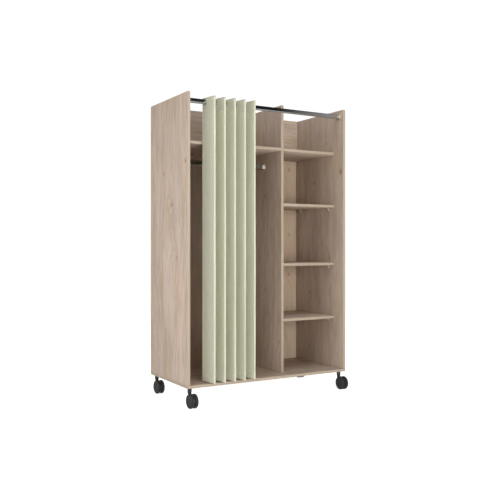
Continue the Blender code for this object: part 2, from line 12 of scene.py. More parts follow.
import bmesh
import bpy
from mathutils import Matrix, Vector
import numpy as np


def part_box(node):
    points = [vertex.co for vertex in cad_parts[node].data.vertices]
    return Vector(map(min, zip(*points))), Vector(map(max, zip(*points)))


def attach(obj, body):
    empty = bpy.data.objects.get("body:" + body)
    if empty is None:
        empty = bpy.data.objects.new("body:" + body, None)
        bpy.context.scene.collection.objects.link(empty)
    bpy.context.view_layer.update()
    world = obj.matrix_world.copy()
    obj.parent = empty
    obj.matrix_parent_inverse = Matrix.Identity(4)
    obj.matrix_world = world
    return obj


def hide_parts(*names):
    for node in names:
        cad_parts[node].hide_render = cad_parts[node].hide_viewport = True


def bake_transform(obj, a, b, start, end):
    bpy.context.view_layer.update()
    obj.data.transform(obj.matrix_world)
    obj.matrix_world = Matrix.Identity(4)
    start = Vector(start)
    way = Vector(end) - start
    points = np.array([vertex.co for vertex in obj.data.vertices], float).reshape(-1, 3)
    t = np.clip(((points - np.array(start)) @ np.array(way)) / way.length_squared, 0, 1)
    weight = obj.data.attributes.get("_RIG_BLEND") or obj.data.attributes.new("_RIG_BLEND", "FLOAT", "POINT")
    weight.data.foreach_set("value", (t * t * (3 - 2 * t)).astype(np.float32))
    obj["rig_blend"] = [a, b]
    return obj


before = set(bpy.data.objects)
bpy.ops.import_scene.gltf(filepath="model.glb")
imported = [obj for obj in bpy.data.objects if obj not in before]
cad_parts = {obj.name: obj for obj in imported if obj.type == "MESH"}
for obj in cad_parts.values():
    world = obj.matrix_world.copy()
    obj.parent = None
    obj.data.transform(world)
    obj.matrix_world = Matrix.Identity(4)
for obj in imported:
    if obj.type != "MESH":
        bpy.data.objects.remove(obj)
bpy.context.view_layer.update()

bl_info = {
    "name": "Curtain Wardrobe",
    "version": (1, 0, 0),
    "blender": (4, 5, 0),
    "location": "3D View > Sidebar > Wardrobe",
    "description": "Makes the finished look of a curtain wardrobe on castors",
    "category": "Object",
}

# Names of the maps and attributes that the materials and node trees read
GRAIN_MAP = "grain"
WEAVE_MAP = "weave"
RUN = "run"
FACING = "facing"
DOUBLED = "doubled"

X, Y, Z = range(3)
FRONT, LEFT, RIGHT, TOP = (Y, -1), (X, -1), (X, 1), (Z, 1)
SIDES = (("left", 1), ("right", -1))

# Each board with the axis of its grain and its edged sides
BOARDS = {
    "left_side_board": (Z, (FRONT, TOP)),
    "right_side_board": (Z, (FRONT, TOP)),
    "divider": (Z, (FRONT, TOP)),
    "bottom_board": (X, (FRONT, LEFT, RIGHT)),
    "left_top_shelf": (X, (FRONT,)),
    "right_top_shelf": (X, (FRONT,)),
    "left_back_rail": (X, (TOP,)),
    "right_back_rail": (X, (TOP,)),
    "lower_bay_shelf": (X, (FRONT,)),
    "middle_bay_shelf": (X, (FRONT,)),
    "upper_bay_shelf": (X, (FRONT,)),
}

# Knots that stand out, by board and face: (place along the grain, place across it, faintness)
KNOTS = {
    ("right_side_board", LEFT): (
        (1.2460, -0.2002, 0.008), (1.2000, 0.0630, 0.024), (1.4247, -0.0590, 0.034),
        (0.7478, -0.0924, 0.026), (0.5384, 0.1100, 0.030), (0.2103, 0.1148, 0.034),
    ),
    ("left_side_board", LEFT): (
        (1.2518, -0.1975, 0.016), (1.2052, 0.0785, 0.024), (1.0376, -0.0290, 0.014),
        (0.7571, -0.0884, 0.026),
    ),
    ("divider", LEFT): ((1.1061, 0.0161, 0.026), (0.5711, 0.0210, 0.032)),
    ("right_back_sheet", FRONT): (
        (1.2960, 0.4298, 0.026), (0.8900, 0.4305, 0.034), (0.6404, 0.4275, 0.024),
    ),
}

# Millimetres along and across the grain that hold one knot or none
KNOT_CELL = (260, 190)

CASTORS = ("front_left", "front_right", "back_left", "back_right")
EYELETS = [f"eyelet_{i:02d}" for i in range(1, 11)]
EYELET_BODIES = ["curtain_end_eyelet"] + EYELETS[1:]
SUPPORTS = [
    f"{level}_shelf_support_{side}_{end}"
    for level in ("lower", "middle", "upper")
    for side in ("left", "right")
    for end in ("front", "back")
]

# Gap between pieces that touch, and radii of pins and stems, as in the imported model
FIT = 0.0003
PIN_R = 0.0025
STEM_R = 0.005

# How far a support's pin lies below its shelf, and the wall of the rod and the rail
PIN_DROP = 0.008
TUBE_WALL = 0.001

# Sides of the round pieces, and steps of a rounded corner
ROUND_SIDES = 64
TURNED_SIDES = 48
SMALL_SIDES = 24
WHEEL_SIDES = 72
CORNER_STEPS = 3
SMOOTH_ANGLE = math.radians(35)
CLOTH_ANGLE = math.radians(50)

# Edges sharper than this, in radians, are rims that are rounded off
RIM_ANGLE = 1.2

# Cloth grid: spacing of its columns and rows, of the rows round the eyelets, and a hem's step
COLUMN_SPACING = 0.0016
ROW_SPACING = 0.014
FINE_ROW_SPACING = 0.0022
HEM_STEP = 0.0005
CLOTH_SEED = 7.0

WHITE = (1.0, 1.0, 1.0, 1.0)


def linear(hex_colour):
    """An sRGB hex colour as Blender's linear RGBA."""
    shares = [int(hex_colour[i : i + 2], 16) / 255 for i in (0, 2, 4)]
    return [s / 12.92 if s <= 0.04045 else ((s + 0.055) / 1.055) ** 2.4 for s in shares] + [1.0]


def metres(name, description, default):
    return bpy.props.FloatProperty(
        name=name, description=description, default=default, min=0.0, precision=5, unit="LENGTH"
    )


def swatch(name, description, hex_colour):
    return bpy.props.FloatVectorProperty(
        name=name, description=description, default=linear(hex_colour),
        size=4, min=0.0, max=1.0, subtype="COLOR",
    )


class WardrobeSizes(bpy.types.PropertyGroup):
    """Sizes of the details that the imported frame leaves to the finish."""

    board_ease: metres("Board ease", "Rounding of a board's edges", 0.0007)
    edging: metres("Edging", "Thickness of the plastic edging", 0.0010)
    edging_groove: metres("Edging groove", "Depth of the seam beside the edging", 0.00012)
    sheet_ease: metres("Sheet ease", "Rounding of a back sheet's edges", 0.0003)
    doubled_cloth: metres("Doubled cloth", "Thickness of the cloth in a hem", 0.0016)
    single_cloth_share: bpy.props.FloatProperty(
        name="Single cloth share",
        description="Thickness of the cloth outside the hems, as a share of the doubled cloth",
        default=0.6, min=0.1, max=1.0,
    )
    fold_nose: metres("Fold nose", "Radius of the cloth at the front of a fold", 0.0045)
    end_turn: metres("End turn", "How far each end of the cloth leans outwards", 0.0012)
    heading: metres("Heading", "Height of the doubled band round the eyelets", 0.060)
    hem: metres("Hem", "Height of the doubled band at the foot", 0.030)
    side_hem: metres("Side hem", "Width of the doubled band at each side", 0.012)
    sway: metres("Sway", "How far the folds wander from straight at the foot", 0.0013)
    crease: metres("Crease", "Depth of the soft upright creases in the flats", 0.00045)
    stitch_pitch: metres("Stitch pitch", "Distance from stitch to stitch", 0.0042)
    stitch: metres("Stitch", "Length of a stitch", 0.0033)
    thread: metres("Thread", "Thickness of the sewing thread", 0.0005)
    screw_head: metres("Screw head", "Radius of a fixing screw's head", 0.0022)
    screw_dome: metres("Screw dome", "Height of a fixing screw's head", 0.0012)
    bolt_head: metres("Bolt head", "Radius of a board bolt's head", 0.0050)
    cam_cap: metres("Cam cap", "Radius of the cap over a cam", 0.0085)
    nail_head: metres("Nail head", "Radius of a back sheet nail's head", 0.0021)
    nail_pitch: metres("Nail pitch", "Distance from nail to nail", 0.125)


class WardrobeColours(bpy.types.PropertyGroup):
    """Colours of the finishes."""

    oak_light: swatch("Oak light", "Light streaks of the printed oak", "BFADA0")
    oak_dark: swatch("Oak dark", "Dark streaks of the printed oak", "A89789")
    oak_warm: swatch("Oak warm", "Tint of the yellower streaks", "FFF3DA")
    oak_line: swatch("Oak line", "Growth lines of the printed oak", "927E6C")
    knot: swatch("Knot", "Heart of a knot", "6F5745")
    knot_rim: swatch("Knot rim", "Warm ring round a knot", "9F7F63")
    sheet_light: swatch("Sheet light", "Light streaks of the printed back sheet", "C0AC97")
    sheet_dark: swatch("Sheet dark", "Dark streaks of the printed back sheet", "B3A08C")
    fibre: swatch("Fibre", "Bare fibreboard on the reverse of the back", "8F7558")
    edging_light: swatch("Edging light", "Light streaks of the edging", "B2A28E")
    edging_dark: swatch("Edging dark", "Dark streaks of the edging", "A89886")
    cloth: swatch("Cloth", "Woven cloth of the curtain", "D2D2C0")
    cloth_slub: swatch("Cloth slub", "Thick threads in the cloth", "C9C9B1")
    thread: swatch("Thread", "Sewing thread", "CFCFB8")
    chrome: swatch("Chrome", "Chromed tubes", "D2D2D2")
    satin: swatch("Satin nickel", "Cups and brackets of the rods", "E2DCD2")
    nickel: swatch("Nickel", "Nickelled eyelets", "C4C4BA")
    zinc: swatch("Zinc", "Galvanised screws and nails", "A9A8A2")
    dark_steel: swatch("Dark steel", "Blackened castor stems", "3A3A3C")
    nylon: swatch("Nylon", "Moulded castor bodies", "242425")
    tread: swatch("Tread", "Rubbery castor wheels", "2C2C2C")
    support: swatch("Support", "Milky plastic of the shelf supports", "B9B0A2")
    floor: swatch("Floor", "Studio floor", "F4F4F2")


def sizes():
    return bpy.context.scene.wardrobe_sizes


def colours():
    return bpy.context.scene.wardrobe_colours


def add_node(tree, kind, inputs=(), **settings):
    """A node with its settings. A kind without a family is a shader node.

    Inputs are given in the node's own order, or by number and name. Each is a value, or what to
    link: an output, a node for its first output, or a list of them.
    """
    if not kind.startswith(("GeometryNode", "FunctionNode", "NodeGroup")):
        kind = f"ShaderNode{kind}"
    node = tree.nodes.new(kind)
    for name, value in settings.items():
        setattr(node, name, value)
    for socket, value in inputs.items() if isinstance(inputs, dict) else enumerate(inputs):
        if isinstance(value, (bpy.types.NodeSocket, bpy.types.Node, list)):
            for output in value if isinstance(value, list) else [value]:
                if isinstance(output, bpy.types.Node):
                    output = output.outputs[0]
                tree.links.new(output, node.inputs[socket])
        else:
            node.inputs[socket].default_value = value
    return node


def new_material(name):
    """An empty material, and add_node for its tree."""
    material = bpy.data.materials.new(name)
    material.use_nodes = True
    material.node_tree.nodes.clear()
    return material, functools.partial(add_node, material.node_tree)


def add_surface(add, inputs):
    add("OutputMaterial", (add("BsdfPrincipled", inputs),))


def per_metre(millimetres):
    """How many times a pattern of this size repeats in a metre."""
    return 1000.0 / millimetres


def cell_scale(size):
    return per_metre(size[0]), per_metre(size[1]), 1.0


def map_noise(add, vector, size, detail=2.0, roughness=0.5, shift=(0.0, 0.0, 0.0)):
    """Flat noise on a map, with grains of this many mm along its two axes."""
    at = add("Mapping", {"Vector": vector, "Location": shift, "Scale": cell_scale(size)})
    inputs = {"Vector": at, "Scale": 1.0, "Detail": detail, "Roughness": roughness}
    return add("TexNoise", inputs, noise_dimensions="2D")


def solid_noise(add, grit, detail):
    """Noise in an object's own space, with grains of this many mm."""
    place = add("TexCoord").outputs["Object"]
    return add("TexNoise", {"Vector": place, "Scale": per_metre(grit), "Detail": detail})


def toned(add, colour, value, span):
    """A colour, or an output, scaled as a value goes through its span: from, from, to, to."""
    if not isinstance(colour, bpy.types.NodeSocket):
        colour = tuple(colour)[:3]
    tone = add("MapRange", (value, *span))
    return add("VectorMath", {0: colour, "Scale": tone}, operation="SCALE")


def printed_oak(name, light, dark, knots=()):
    """Printed oak on a board's melamine face, or on a back sheet.

    The print gives soft, broken streaks, some yellower and some pinker, that wander round the
    knots, with faint growth lines and short pores. The satin melamine shines softly and evenly.
    """
    tint = colours()
    material, add = new_material(name)
    grain = add("UVMap", uv_map=GRAIN_MAP)
    along, across, _ = add("SeparateXYZ", (grain,)).outputs

    # The grain wanders sideways in long, slow waves that carry smaller ones
    wander = map_noise(add, grain, (900, 210), 4.0, 0.55)
    field = add("Math", (wander, 0.130, across), operation="MULTIPLY_ADD")

    # Scattered knots, plain in a few cells of a pattern and hardly there in the others
    cells = add("Mapping", {"Vector": grain, "Scale": cell_scale(KNOT_CELL)})
    spots = add("TexVoronoi", {"Vector": cells, "Scale": 1.0}, voronoi_dimensions="2D").outputs
    faded = add("MapRange", (spots["Color"], 0.70, 0.86, 0.16, 0.03))
    distance = add("Math", (spots["Distance"], faded), operation="ADD")

    # Knots at places of their own. What is added to their distance makes them fainter
    size = (KNOT_CELL[0] / 1000, KNOT_CELL[1] / 1000, 1.0)
    for knot_along, knot_across, faintness in knots:
        inputs = {"Vector": grain, "Location": (knot_along, knot_across, 0.0), "Scale": size}
        aim = add("Mapping", inputs, vector_type="TEXTURE")
        own = add("VectorMath", (aim,), operation="LENGTH")
        kept = add("Math", (own.outputs["Value"], faintness), operation="ADD")
        distance = add("Math", (distance, kept), operation="MINIMUM")
    near, ring, heart = (
        add("MapRange", (distance, edge, middle, 0.0, top), interpolation_type="SMOOTHSTEP")
        for edge, middle, top in ((0.35, 0.0, 1.0), (0.12, 0.03, 0.5), (0.065, 0.02, 0.85))
    )
    field = add("Math", (near, 0.026, field), operation="MULTIPLY_ADD")

    # Streaks in three widths, as (width and length in mm, share of the tone)
    flow = add("CombineXYZ", (field, along))
    tone = 0.0
    for size, share in (((60, 520), 0.32), ((15, 210), 0.32), ((4, 90), 0.36)):
        tone = add("Math", (map_noise(add, flow, size), share, tone), operation="MULTIPLY_ADD")
    streaks = add("MapRange", (tone, 0.37, 0.63), interpolation_type="SMOOTHSTEP")
    base = add("Mix", {0: streaks, 6: dark, 7: light}, data_type="RGBA")

    # Some streaks, about 40 mm wide, are yellower than the rest
    hue = map_noise(add, flow, (40, 520), shift=(3.7, 5.1, 0.0))
    yellow = add("MapRange", (hue, 0.40, 0.64, 0.0, 0.36), interpolation_type="SMOOTHSTEP")
    inputs = {0: yellow, 6: base.outputs[2], 7: tint.oak_warm}
    coloured = add("Mix", inputs, data_type="RGBA", blend_type="MULTIPLY")

    # Growth lines 9 mm apart that fade in and out
    phase = add("Math", (field, math.tau * per_metre(9)), operation="MULTIPLY")
    wave = add("Math", (phase,), operation="SINE")
    line, fade = (
        add("MapRange", inputs, interpolation_type="SMOOTHSTEP")
        for inputs in ((wave, 0.2, 1.0, 0.0, 0.26), (wander, 0.44, 0.60))
    )
    faint = add("Math", (line, fade), operation="MULTIPLY")

    # Pores 14 mm long, drawn 0.9 mm wide so that they show
    pores = map_noise(add, grain, (14, 0.9), 1.0)
    sunk = add("MapRange", (pores, 0.60, 0.72), interpolation_type="SMOOTHSTEP")
    specked = add("Math", (sunk, 0.26), operation="MULTIPLY")
    for amount, colour in (
        (faint, tint.oak_line), (ring, tint.knot_rim), (heart, tint.knot), (specked, tint.oak_line)
    ):
        coloured = add("Mix", {0: amount, 6: coloured.outputs[2], 7: colour}, data_type="RGBA")
    add_surface(add, {
        "Base Color": coloured.outputs[2],
        "Roughness": add("MapRange", (tone, 0.3, 0.7, 0.60, 0.50)),
        "Normal": add("Bump", {"Strength": 0.22, "Distance": 0.0002, "Height": sunk}, invert=True),
        "IOR": 1.5,
        "Specular IOR Level": 0.35,
    })
    return material


def edging():
    """ABS edging, printed to match: a shade smoother than the faces, with streaks along the edge."""
    tint = colours()
    material, add = new_material("ABS edging, printed oak")
    streak = map_noise(add, add("UVMap", uv_map=GRAIN_MAP), (420, 3.5), 3.0)
    tone = add("MapRange", (streak, 0.32, 0.68), interpolation_type="SMOOTHSTEP")
    colour = add("Mix", {0: tone, 6: tint.edging_dark, 7: tint.edging_light}, data_type="RGBA")
    add_surface(add, {
        "Base Color": colour.outputs[2],
        "Roughness": 0.45,
        "Normal": add("Bump", {"Strength": 0.15, "Distance": 0.0001, "Height": streak}),
        "IOR": 1.53,
        "Specular IOR Level": 0.35,
    })
    return material


def bare_hardboard():
    """The reverse of the back sheets: pressed fibre, mottled brown and dull."""
    material, add = new_material("bare pressed hardboard")
    fibres, clouds = solid_noise(add, 2.2, 5.0), solid_noise(add, 70, 2.0)
    both = add("Math", (fibres, 0.6, clouds), operation="MULTIPLY_ADD")
    add_surface(add, {
        "Base Color": toned(add, colours().fibre, both, (0.55, 1.05, 0.82, 1.14)),
        "Roughness": 0.8,
        "Normal": add("Bump", {"Strength": 0.35, "Distance": 0.0002, "Height": fibres}),
    })
    return material


def woven_polyester():
    """Plain woven polyester with slubs: a matt, pale green-grey cloth with a soft edge glow.

    Its threads are about 0.4 mm apart and are drawn 1.2 mm apart so that they show.
    """
    tint = colours()
    material, add = new_material("woven polyester")
    weave = add("UVMap", uv_map=WEAVE_MAP)
    across, up, _ = add("SeparateXYZ", (weave,)).outputs
    phases = [add("Math", (way, math.tau * per_metre(1.2)), operation="MULTIPLY") for way in (across, up)]
    warp, weft = (add("Math", (phase,), operation="SINE") for phase in phases)
    crossing = add("Math", (warp, weft), operation="MULTIPLY")

    # Slubs: upright ones 3 mm wide, and fainter ones along the weft
    thin, wide, level = (map_noise(add, weave, size) for size in ((3, 150), (9, 700), (60, 2)))
    upright = add("Math", (thin, wide), operation="ADD")
    slubs = add("Math", (level, 0.35, upright), operation="MULTIPLY_ADD")
    tone = add("MapRange", (slubs, 0.80, 1.55), interpolation_type="SMOOTHSTEP")
    threaded = add("Math", (crossing, 0.10, tone), operation="MULTIPLY_ADD", use_clamp=True)
    colour = add("Mix", {0: threaded, 6: tint.cloth_slub, 7: tint.cloth}, data_type="RGBA").outputs[2]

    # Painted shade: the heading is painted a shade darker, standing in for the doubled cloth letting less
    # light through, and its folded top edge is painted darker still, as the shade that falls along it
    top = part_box("curtain")[1].z
    heading = top - sizes().heading
    for start, end, painted_shade in ((heading, heading + 0.002, 0.95), (top - 0.0060, top - 0.0035, 0.72)):
        # Each band multiplies the cloth's colour by its painted shade
        colour = toned(add, colour, up, (start, end, 1.0, painted_shade)).outputs[0]
    relief = add("Math", (crossing, 0.30, slubs), operation="MULTIPLY_ADD")
    add_surface(add, {
        "Base Color": colour,
        "Roughness": 0.92,
        "Normal": add("Bump", {"Strength": 0.35, "Distance": 0.0004, "Height": relief}),
        "Specular IOR Level": 0.2,
        "Sheen Weight": 0.06,
        "Sheen Roughness": 0.5,
    })
    return material


def sewing_thread():
    """Spun polyester thread: twisted, matt, a shade deeper than the cloth."""
    material, add = new_material("spun polyester thread")
    colour = toned(add, colours().thread, solid_noise(add, 0.5, 1.0), (0.0, 1.0, 0.85, 1.1))
    add_surface(add, {"Base Color": colour, "Roughness": 0.8})
    return material


def metal(name, colour, roughness, spread, grit, depth):
    """A metal surface: grit in mm gives its fine unevenness, spread how much its shine varies."""
    material, add = new_material(name)
    grain = solid_noise(add, grit, 3.0)
    add_surface(add, {
        "Base Color": toned(add, colour, grain, (0.2, 0.8, 0.94, 1.0)),
        "Metallic": 1.0,
        "Roughness": add("MapRange", (grain, 0.3, 0.7, roughness - spread, roughness + spread)),
        "Normal": add("Bump", {"Strength": 0.1, "Distance": depth, "Height": grain}),
    })
    return material


def chrome():
    """Chromed steel tube: a mirror that shows the dark of the room above and the floor below."""
    return metal("chrome-plated steel", colours().chrome, 0.10, 0.03, 6.0, 0.00002)


def satin_nickel():
    """Die-cast zinc with satin nickel, on the cups and brackets: pale, and duller than chrome."""
    return metal("satin nickel on die-cast zinc", colours().satin, 0.36, 0.05, 2.0, 0.00004)


def nickel():
    """Nickelled brass eyelets: a softer, paler shine than chrome."""
    return metal("nickel-plated brass", colours().nickel, 0.16, 0.05, 1.5, 0.00005)


def zinc():
    """Galvanised screws and nails: pale grey, slightly cloudy."""
    return metal("zinc-plated steel", colours().zinc, 0.42, 0.08, 0.8, 0.00005)


def dark_steel():
    """Blackened steel of the castor stems: dark, with a dull shine."""
    return metal("blackened steel", colours().dark_steel, 0.40, 0.06, 1.0, 0.00005)


def moulded_plastic(name, colour, roughness, grit, relief, inputs):
    """A plastic moulded in an eroded tool: a fine, even grain that breaks up the shine."""
    material, add = new_material(name)
    grain = solid_noise(add, grit, 2.0)
    add_surface(add, {
        "Base Color": toned(add, colour, grain, (0.3, 0.7, 0.86, 1.14)),
        "Roughness": add("MapRange", (grain, 0.0, 1.0, roughness - 0.06, roughness + 0.06)),
        "Normal": add("Bump", {"Strength": 0.5, "Distance": relief, "Height": grain}),
        **inputs,
    })
    return material


def castor_nylon():
    """Glass-filled nylon of the castor bodies: near black, satin."""
    return moulded_plastic("glass-filled nylon", colours().nylon, 0.45, 0.7, 0.0001, {"IOR": 1.53})


def castor_tread():
    """Polyurethane of the castor wheels: charcoal, duller than the bodies, grain drawn coarse."""
    inputs = {"IOR": 1.5, "Specular IOR Level": 0.35}
    return moulded_plastic("polyurethane", colours().tread, 0.62, 1.6, 0.0003, inputs)


def milky_plastic():
    """Polycarbonate shelf supports: milky, so that light softens inside them."""
    inputs = {"IOR": 1.58, "Subsurface Weight": 0.3, "Subsurface Scale": 0.004}
    return moulded_plastic("milky polycarbonate", colours().support, 0.32, 0.9, 0.00005, inputs)


def plain_oak():
    """Melamine-faced chipboard with the printed oak."""
    return printed_oak("melamine oak", colours().oak_light, colours().oak_dark)


def once(maker):
    """The material that a maker gives, made the first time that it is asked for."""
    key = f"wardrobe {maker.__name__}"
    found = [m for m in bpy.data.materials if m.get("maker") == key]
    if found:
        return found[0]
    material = maker()
    material["maker"] = key
    return material


def middle(node):
    low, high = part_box(node)
    return (low + high) / 2


def link_object(name, data):
    thing = bpy.data.objects.new(name, data)
    bpy.context.scene.collection.objects.link(thing)
    return thing


def shade(mesh, angle=SMOOTH_ANGLE):
    """Smooth shading, except at the edges sharper than an angle."""
    mesh.shade_smooth()
    mesh.set_sharp_from_angle(angle=angle)


def mesh_of(bm, name, materials=(), smooth=False):
    mesh = bpy.data.meshes.new(name)
    bm.to_mesh(mesh)
    bm.free()
    for material in materials:
        mesh.materials.append(material)
    if smooth:
        shade(mesh)
    return mesh


def settle(thing):
    """Turns an object's modifiers into its plain mesh."""
    graph = bpy.context.evaluated_depsgraph_get()
    graph.update()
    mesh = bpy.data.meshes.new_from_object(
        thing.evaluated_get(graph), preserve_all_data_layers=True, depsgraph=graph
    )
    thing.modifiers.clear()
    before = thing.data
    thing.data = mesh
    bpy.data.meshes.remove(before)


def set_piece(thing, body, nodes=()):
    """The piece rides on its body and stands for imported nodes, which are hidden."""
    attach(thing, body)
    if nodes:
        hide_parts(*nodes)


def make_piece(bm, name, maker, body, node):
    """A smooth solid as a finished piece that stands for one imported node."""
    set_piece(link_object(name, mesh_of(bm, name, [once(maker)], smooth=True)), body, [node])


def eased(points, radius, closed=False):
    """An outline with its corners rounded, as far as its short sides leave room."""
    count = len(points)
    rounded = []
    for i, point in enumerate(points):
        here = Vector(point)
        if not closed and i in (0, count - 1):
            rounded.append(here)
            continue
        before = Vector(points[i - 1]) - here
        after = Vector(points[(i + 1) % count]) - here
        cut = min(radius, before.length * 0.45, after.length * 0.45)
        start = here + before.normalized() * cut
        end = here + after.normalized() * cut
        for step in range(CORNER_STEPS + 1):
            t = step / CORNER_STEPS
            rounded.append(start * (1 - t) ** 2 + here * 2 * t * (1 - t) + end * t**2)
    return rounded


def lathe(profile, sides, core=0.0, closed=False):
    """A solid turned about X from (radius, x) points, or an oval one, parted by a core along Z."""
    bm = bmesh.new()
    loops = []
    for radius, x in profile:
        loop = []
        for i in range(sides):
            angle = math.tau * (i + 0.5) / sides
            lift = math.copysign(core / 2, math.sin(angle))
            loop.append(bm.verts.new((x, radius * math.cos(angle), radius * math.sin(angle) + lift)))
        loops.append(loop)
    steps = list(zip(loops, loops[1:]))
    if closed:
        steps.append((loops[-1], loops[0]))
    else:
        bm.faces.new(loops[0])
        bm.faces.new(loops[-1])
    for near, far in steps:
        for i in range(sides):
            j = (i + 1) % sides
            bm.faces.new((near[i], near[j], far[j], far[i]))
    bmesh.ops.recalc_face_normals(bm, faces=bm.faces)
    return bm


def bar(radius, start, end, sides=SMALL_SIDES):
    return lathe([(radius, start), (radius, end)], sides)


def placed(bm, matrix):
    bmesh.ops.transform(bm, matrix=matrix, verts=bm.verts)
    return bm


def moved(bm, *place):
    return placed(bm, Matrix.Translation(place))


def upright(bm, x, y, z=0.0):
    """A piece turned about X, set on its end."""
    return placed(bm, Matrix.Translation((x, y, z)) @ Matrix.Rotation(-math.pi / 2, 4, "Y"))


def inner_side(node, sign):
    """Where along X a node begins, when it looks towards +X or -X from its wall or its web."""
    low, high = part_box(node)
    return low.x if sign > 0 else high.x


def against_wall(bm, node, sign):
    """Sets a piece turned about X against its wall, looking towards +X or -X."""
    centre = middle(node)
    turn = Matrix.Identity(4) if sign > 0 else Matrix.Rotation(math.pi, 4, "Z")
    return placed(bm, Matrix.Translation((inner_side(node, sign), centre.y, centre.z)) @ turn)


def apply_boolean(thing, cutter_bm, operation):
    """Joins a solid to an object, or cuts it away."""
    cutter = link_object("cutter", mesh_of(cutter_bm, "cutter"))
    modifier = thing.modifiers.new("solid", "BOOLEAN")
    modifier.operation = operation
    modifier.solver = "EXACT"
    modifier.object = cutter
    settle(thing)
    used = cutter.data
    bpy.data.objects.remove(cutter)
    bpy.data.meshes.remove(used)


def grain_shift(board, face):
    """Where a face of a board lies in the print, so that no two faces look alike."""
    spread = random.Random(f"{board} {face}")
    return spread.uniform(0.0, 9.0), spread.uniform(0.0, 9.0)


def lay_grain(mesh, board, grain):
    """Writes the grain map in metres: along the grain first, then across it."""
    low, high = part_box(board)
    bm = bmesh.new()
    bm.from_mesh(mesh)
    layer = bm.loops.layers.uv.get(GRAIN_MAP) or bm.loops.layers.uv.new(GRAIN_MAP)
    for face in bm.faces:
        axis = max(range(3), key=lambda i: abs(face.normal[i]))
        flat = [i for i in range(3) if i != axis]
        along = grain if grain in flat else max(flat, key=lambda i: high[i] - low[i])
        across = flat[0] if flat[1] == along else flat[1]
        shift = grain_shift(board, (axis, 1 if face.normal[axis] > 0 else -1))
        for loop in face.loops:
            place = loop.vert.co
            loop[layer].uv = (place[along] + shift[0], place[across] + shift[1])
    bm.to_mesh(mesh)
    bm.free()


def knots_on(board):
    """The board's own knots, as places in its grain map."""
    return [
        (along + shift[0], across + shift[1], faintness)
        for (name, face), knots in KNOTS.items()
        for shift in [grain_shift(board, face)]
        for along, across, faintness in knots
        if name == board
    ]


def eased_box(low, high, ease):
    bm = bmesh.new()
    bmesh.ops.create_cube(bm, size=1.0)
    bmesh.ops.scale(bm, vec=high - low, verts=bm.verts)
    bmesh.ops.translate(bm, vec=(low + high) / 2, verts=bm.verts)
    bmesh.ops.bevel(
        bm, geom=bm.edges[:], offset=ease, segments=CORNER_STEPS, profile=0.5, affect="EDGES"
    )
    return bm


def cut_plane(bm, place, normal, dist):
    """Adds the edges where a plane crosses a mesh."""
    geometry = bm.verts[:] + bm.edges[:] + bm.faces[:]
    bmesh.ops.bisect_plane(bm, geom=geometry, dist=dist, plane_co=place, plane_no=normal)


def round_rims(bm, offset, segments):
    rims = [e for e in bm.edges if len(e.link_faces) == 2 and e.calc_face_angle(0.0) > RIM_ANGLE]
    bmesh.ops.bevel(bm, geom=rims, offset=offset, segments=segments, profile=0.5, affect="EDGES")


def score_edging(bm, low, high, face, thickness, depth):
    """Parts the edging from the board's face with a fine groove, and gives it its material."""
    axis, sign = face
    thin = min(range(3), key=lambda i: high[i] - low[i])
    seam = (high if sign > 0 else low)[axis] - sign * thickness
    for place in (seam - depth, seam, seam + depth):
        cut, normal = Vector(), Vector()
        cut[axis], normal[axis] = place, sign
        cut_plane(bm, cut, normal, 1e-7)
    centre = (low + high) / 2
    for vert in bm.verts:
        off_face = min(abs(vert.co[thin] - low[thin]), abs(vert.co[thin] - high[thin]))
        if abs(vert.co[axis] - seam) < 1e-6 and off_face < 1e-6:
            vert.co[thin] += math.copysign(depth, centre[thin] - vert.co[thin])
    for face in bm.faces:
        if (face.calc_center_median()[axis] - seam) * sign > 0:
            face.material_index = 1


def board_holes():
    """The holes for the shelf supports' pins and the castor stems, by board."""
    holes = {"right_side_board": [], "divider": [], "bottom_board": []}
    for node in SUPPORTS:
        low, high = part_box(node)
        centre = middle(node)
        reach = (high.x - low.x + 2 * FIT) / 2
        pin = moved(bar(PIN_R + FIT, -reach, reach), centre.x, centre.y, high.z + FIT - PIN_DROP)
        holes["right_side_board" if "_right_" in node else "divider"].append(pin)
    for castor in CASTORS:
        stem = f"{castor}_castor_stem"
        centre = middle(stem)
        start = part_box("bottom_board")[0].z - FIT
        bore = bar(STEM_R + FIT, 0.0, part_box(stem)[1].z + FIT - start)
        holes["bottom_board"].append(upright(bore, centre.x, centre.y, start))
    return holes


def joined(parts):
    """Several solids in one bmesh."""
    whole = bmesh.new()
    for bm in parts:
        mesh = mesh_of(bm, "part")
        whole.from_mesh(mesh)
        bpy.data.meshes.remove(mesh)
    return whole


def make_boards():
    size, tint = sizes(), colours()
    holes = board_holes()
    for name, (grain, edged) in BOARDS.items():
        low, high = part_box(name)
        bm = eased_box(low, high, size.board_ease)
        for face in edged:
            score_edging(bm, low, high, face, size.edging, size.edging_groove)
        knots = knots_on(name)
        if knots:
            faced = printed_oak(f"melamine oak, {name}", tint.oak_light, tint.oak_dark, knots)
        else:
            faced = once(plain_oak)
        thing = link_object(f"{name}_faced", mesh_of(bm, name, (faced, once(edging))))
        if name in holes:
            apply_boolean(thing, joined(holes[name]), "DIFFERENCE")
        lay_grain(thing.data, name, grain)
        shade(thing.data)
        set_piece(thing, "carcass", [name])


def make_back_sheets():
    size, tint = sizes(), colours()
    for name in ("left_back_sheet", "right_back_sheet"):
        low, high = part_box(name)
        bm = eased_box(low, high, size.sheet_ease)
        for face in bm.faces:
            face.material_index = int(face.calc_center_median().y > high.y - size.sheet_ease / 2)
        title = f"printed hardboard, {name}"
        printed = printed_oak(title, tint.sheet_light, tint.sheet_dark, knots_on(name))
        mesh = mesh_of(bm, name, (printed, once(bare_hardboard)), smooth=True)
        lay_grain(mesh, name, Z)
        set_piece(link_object(f"{name}_printed", mesh), "carcass", [name])


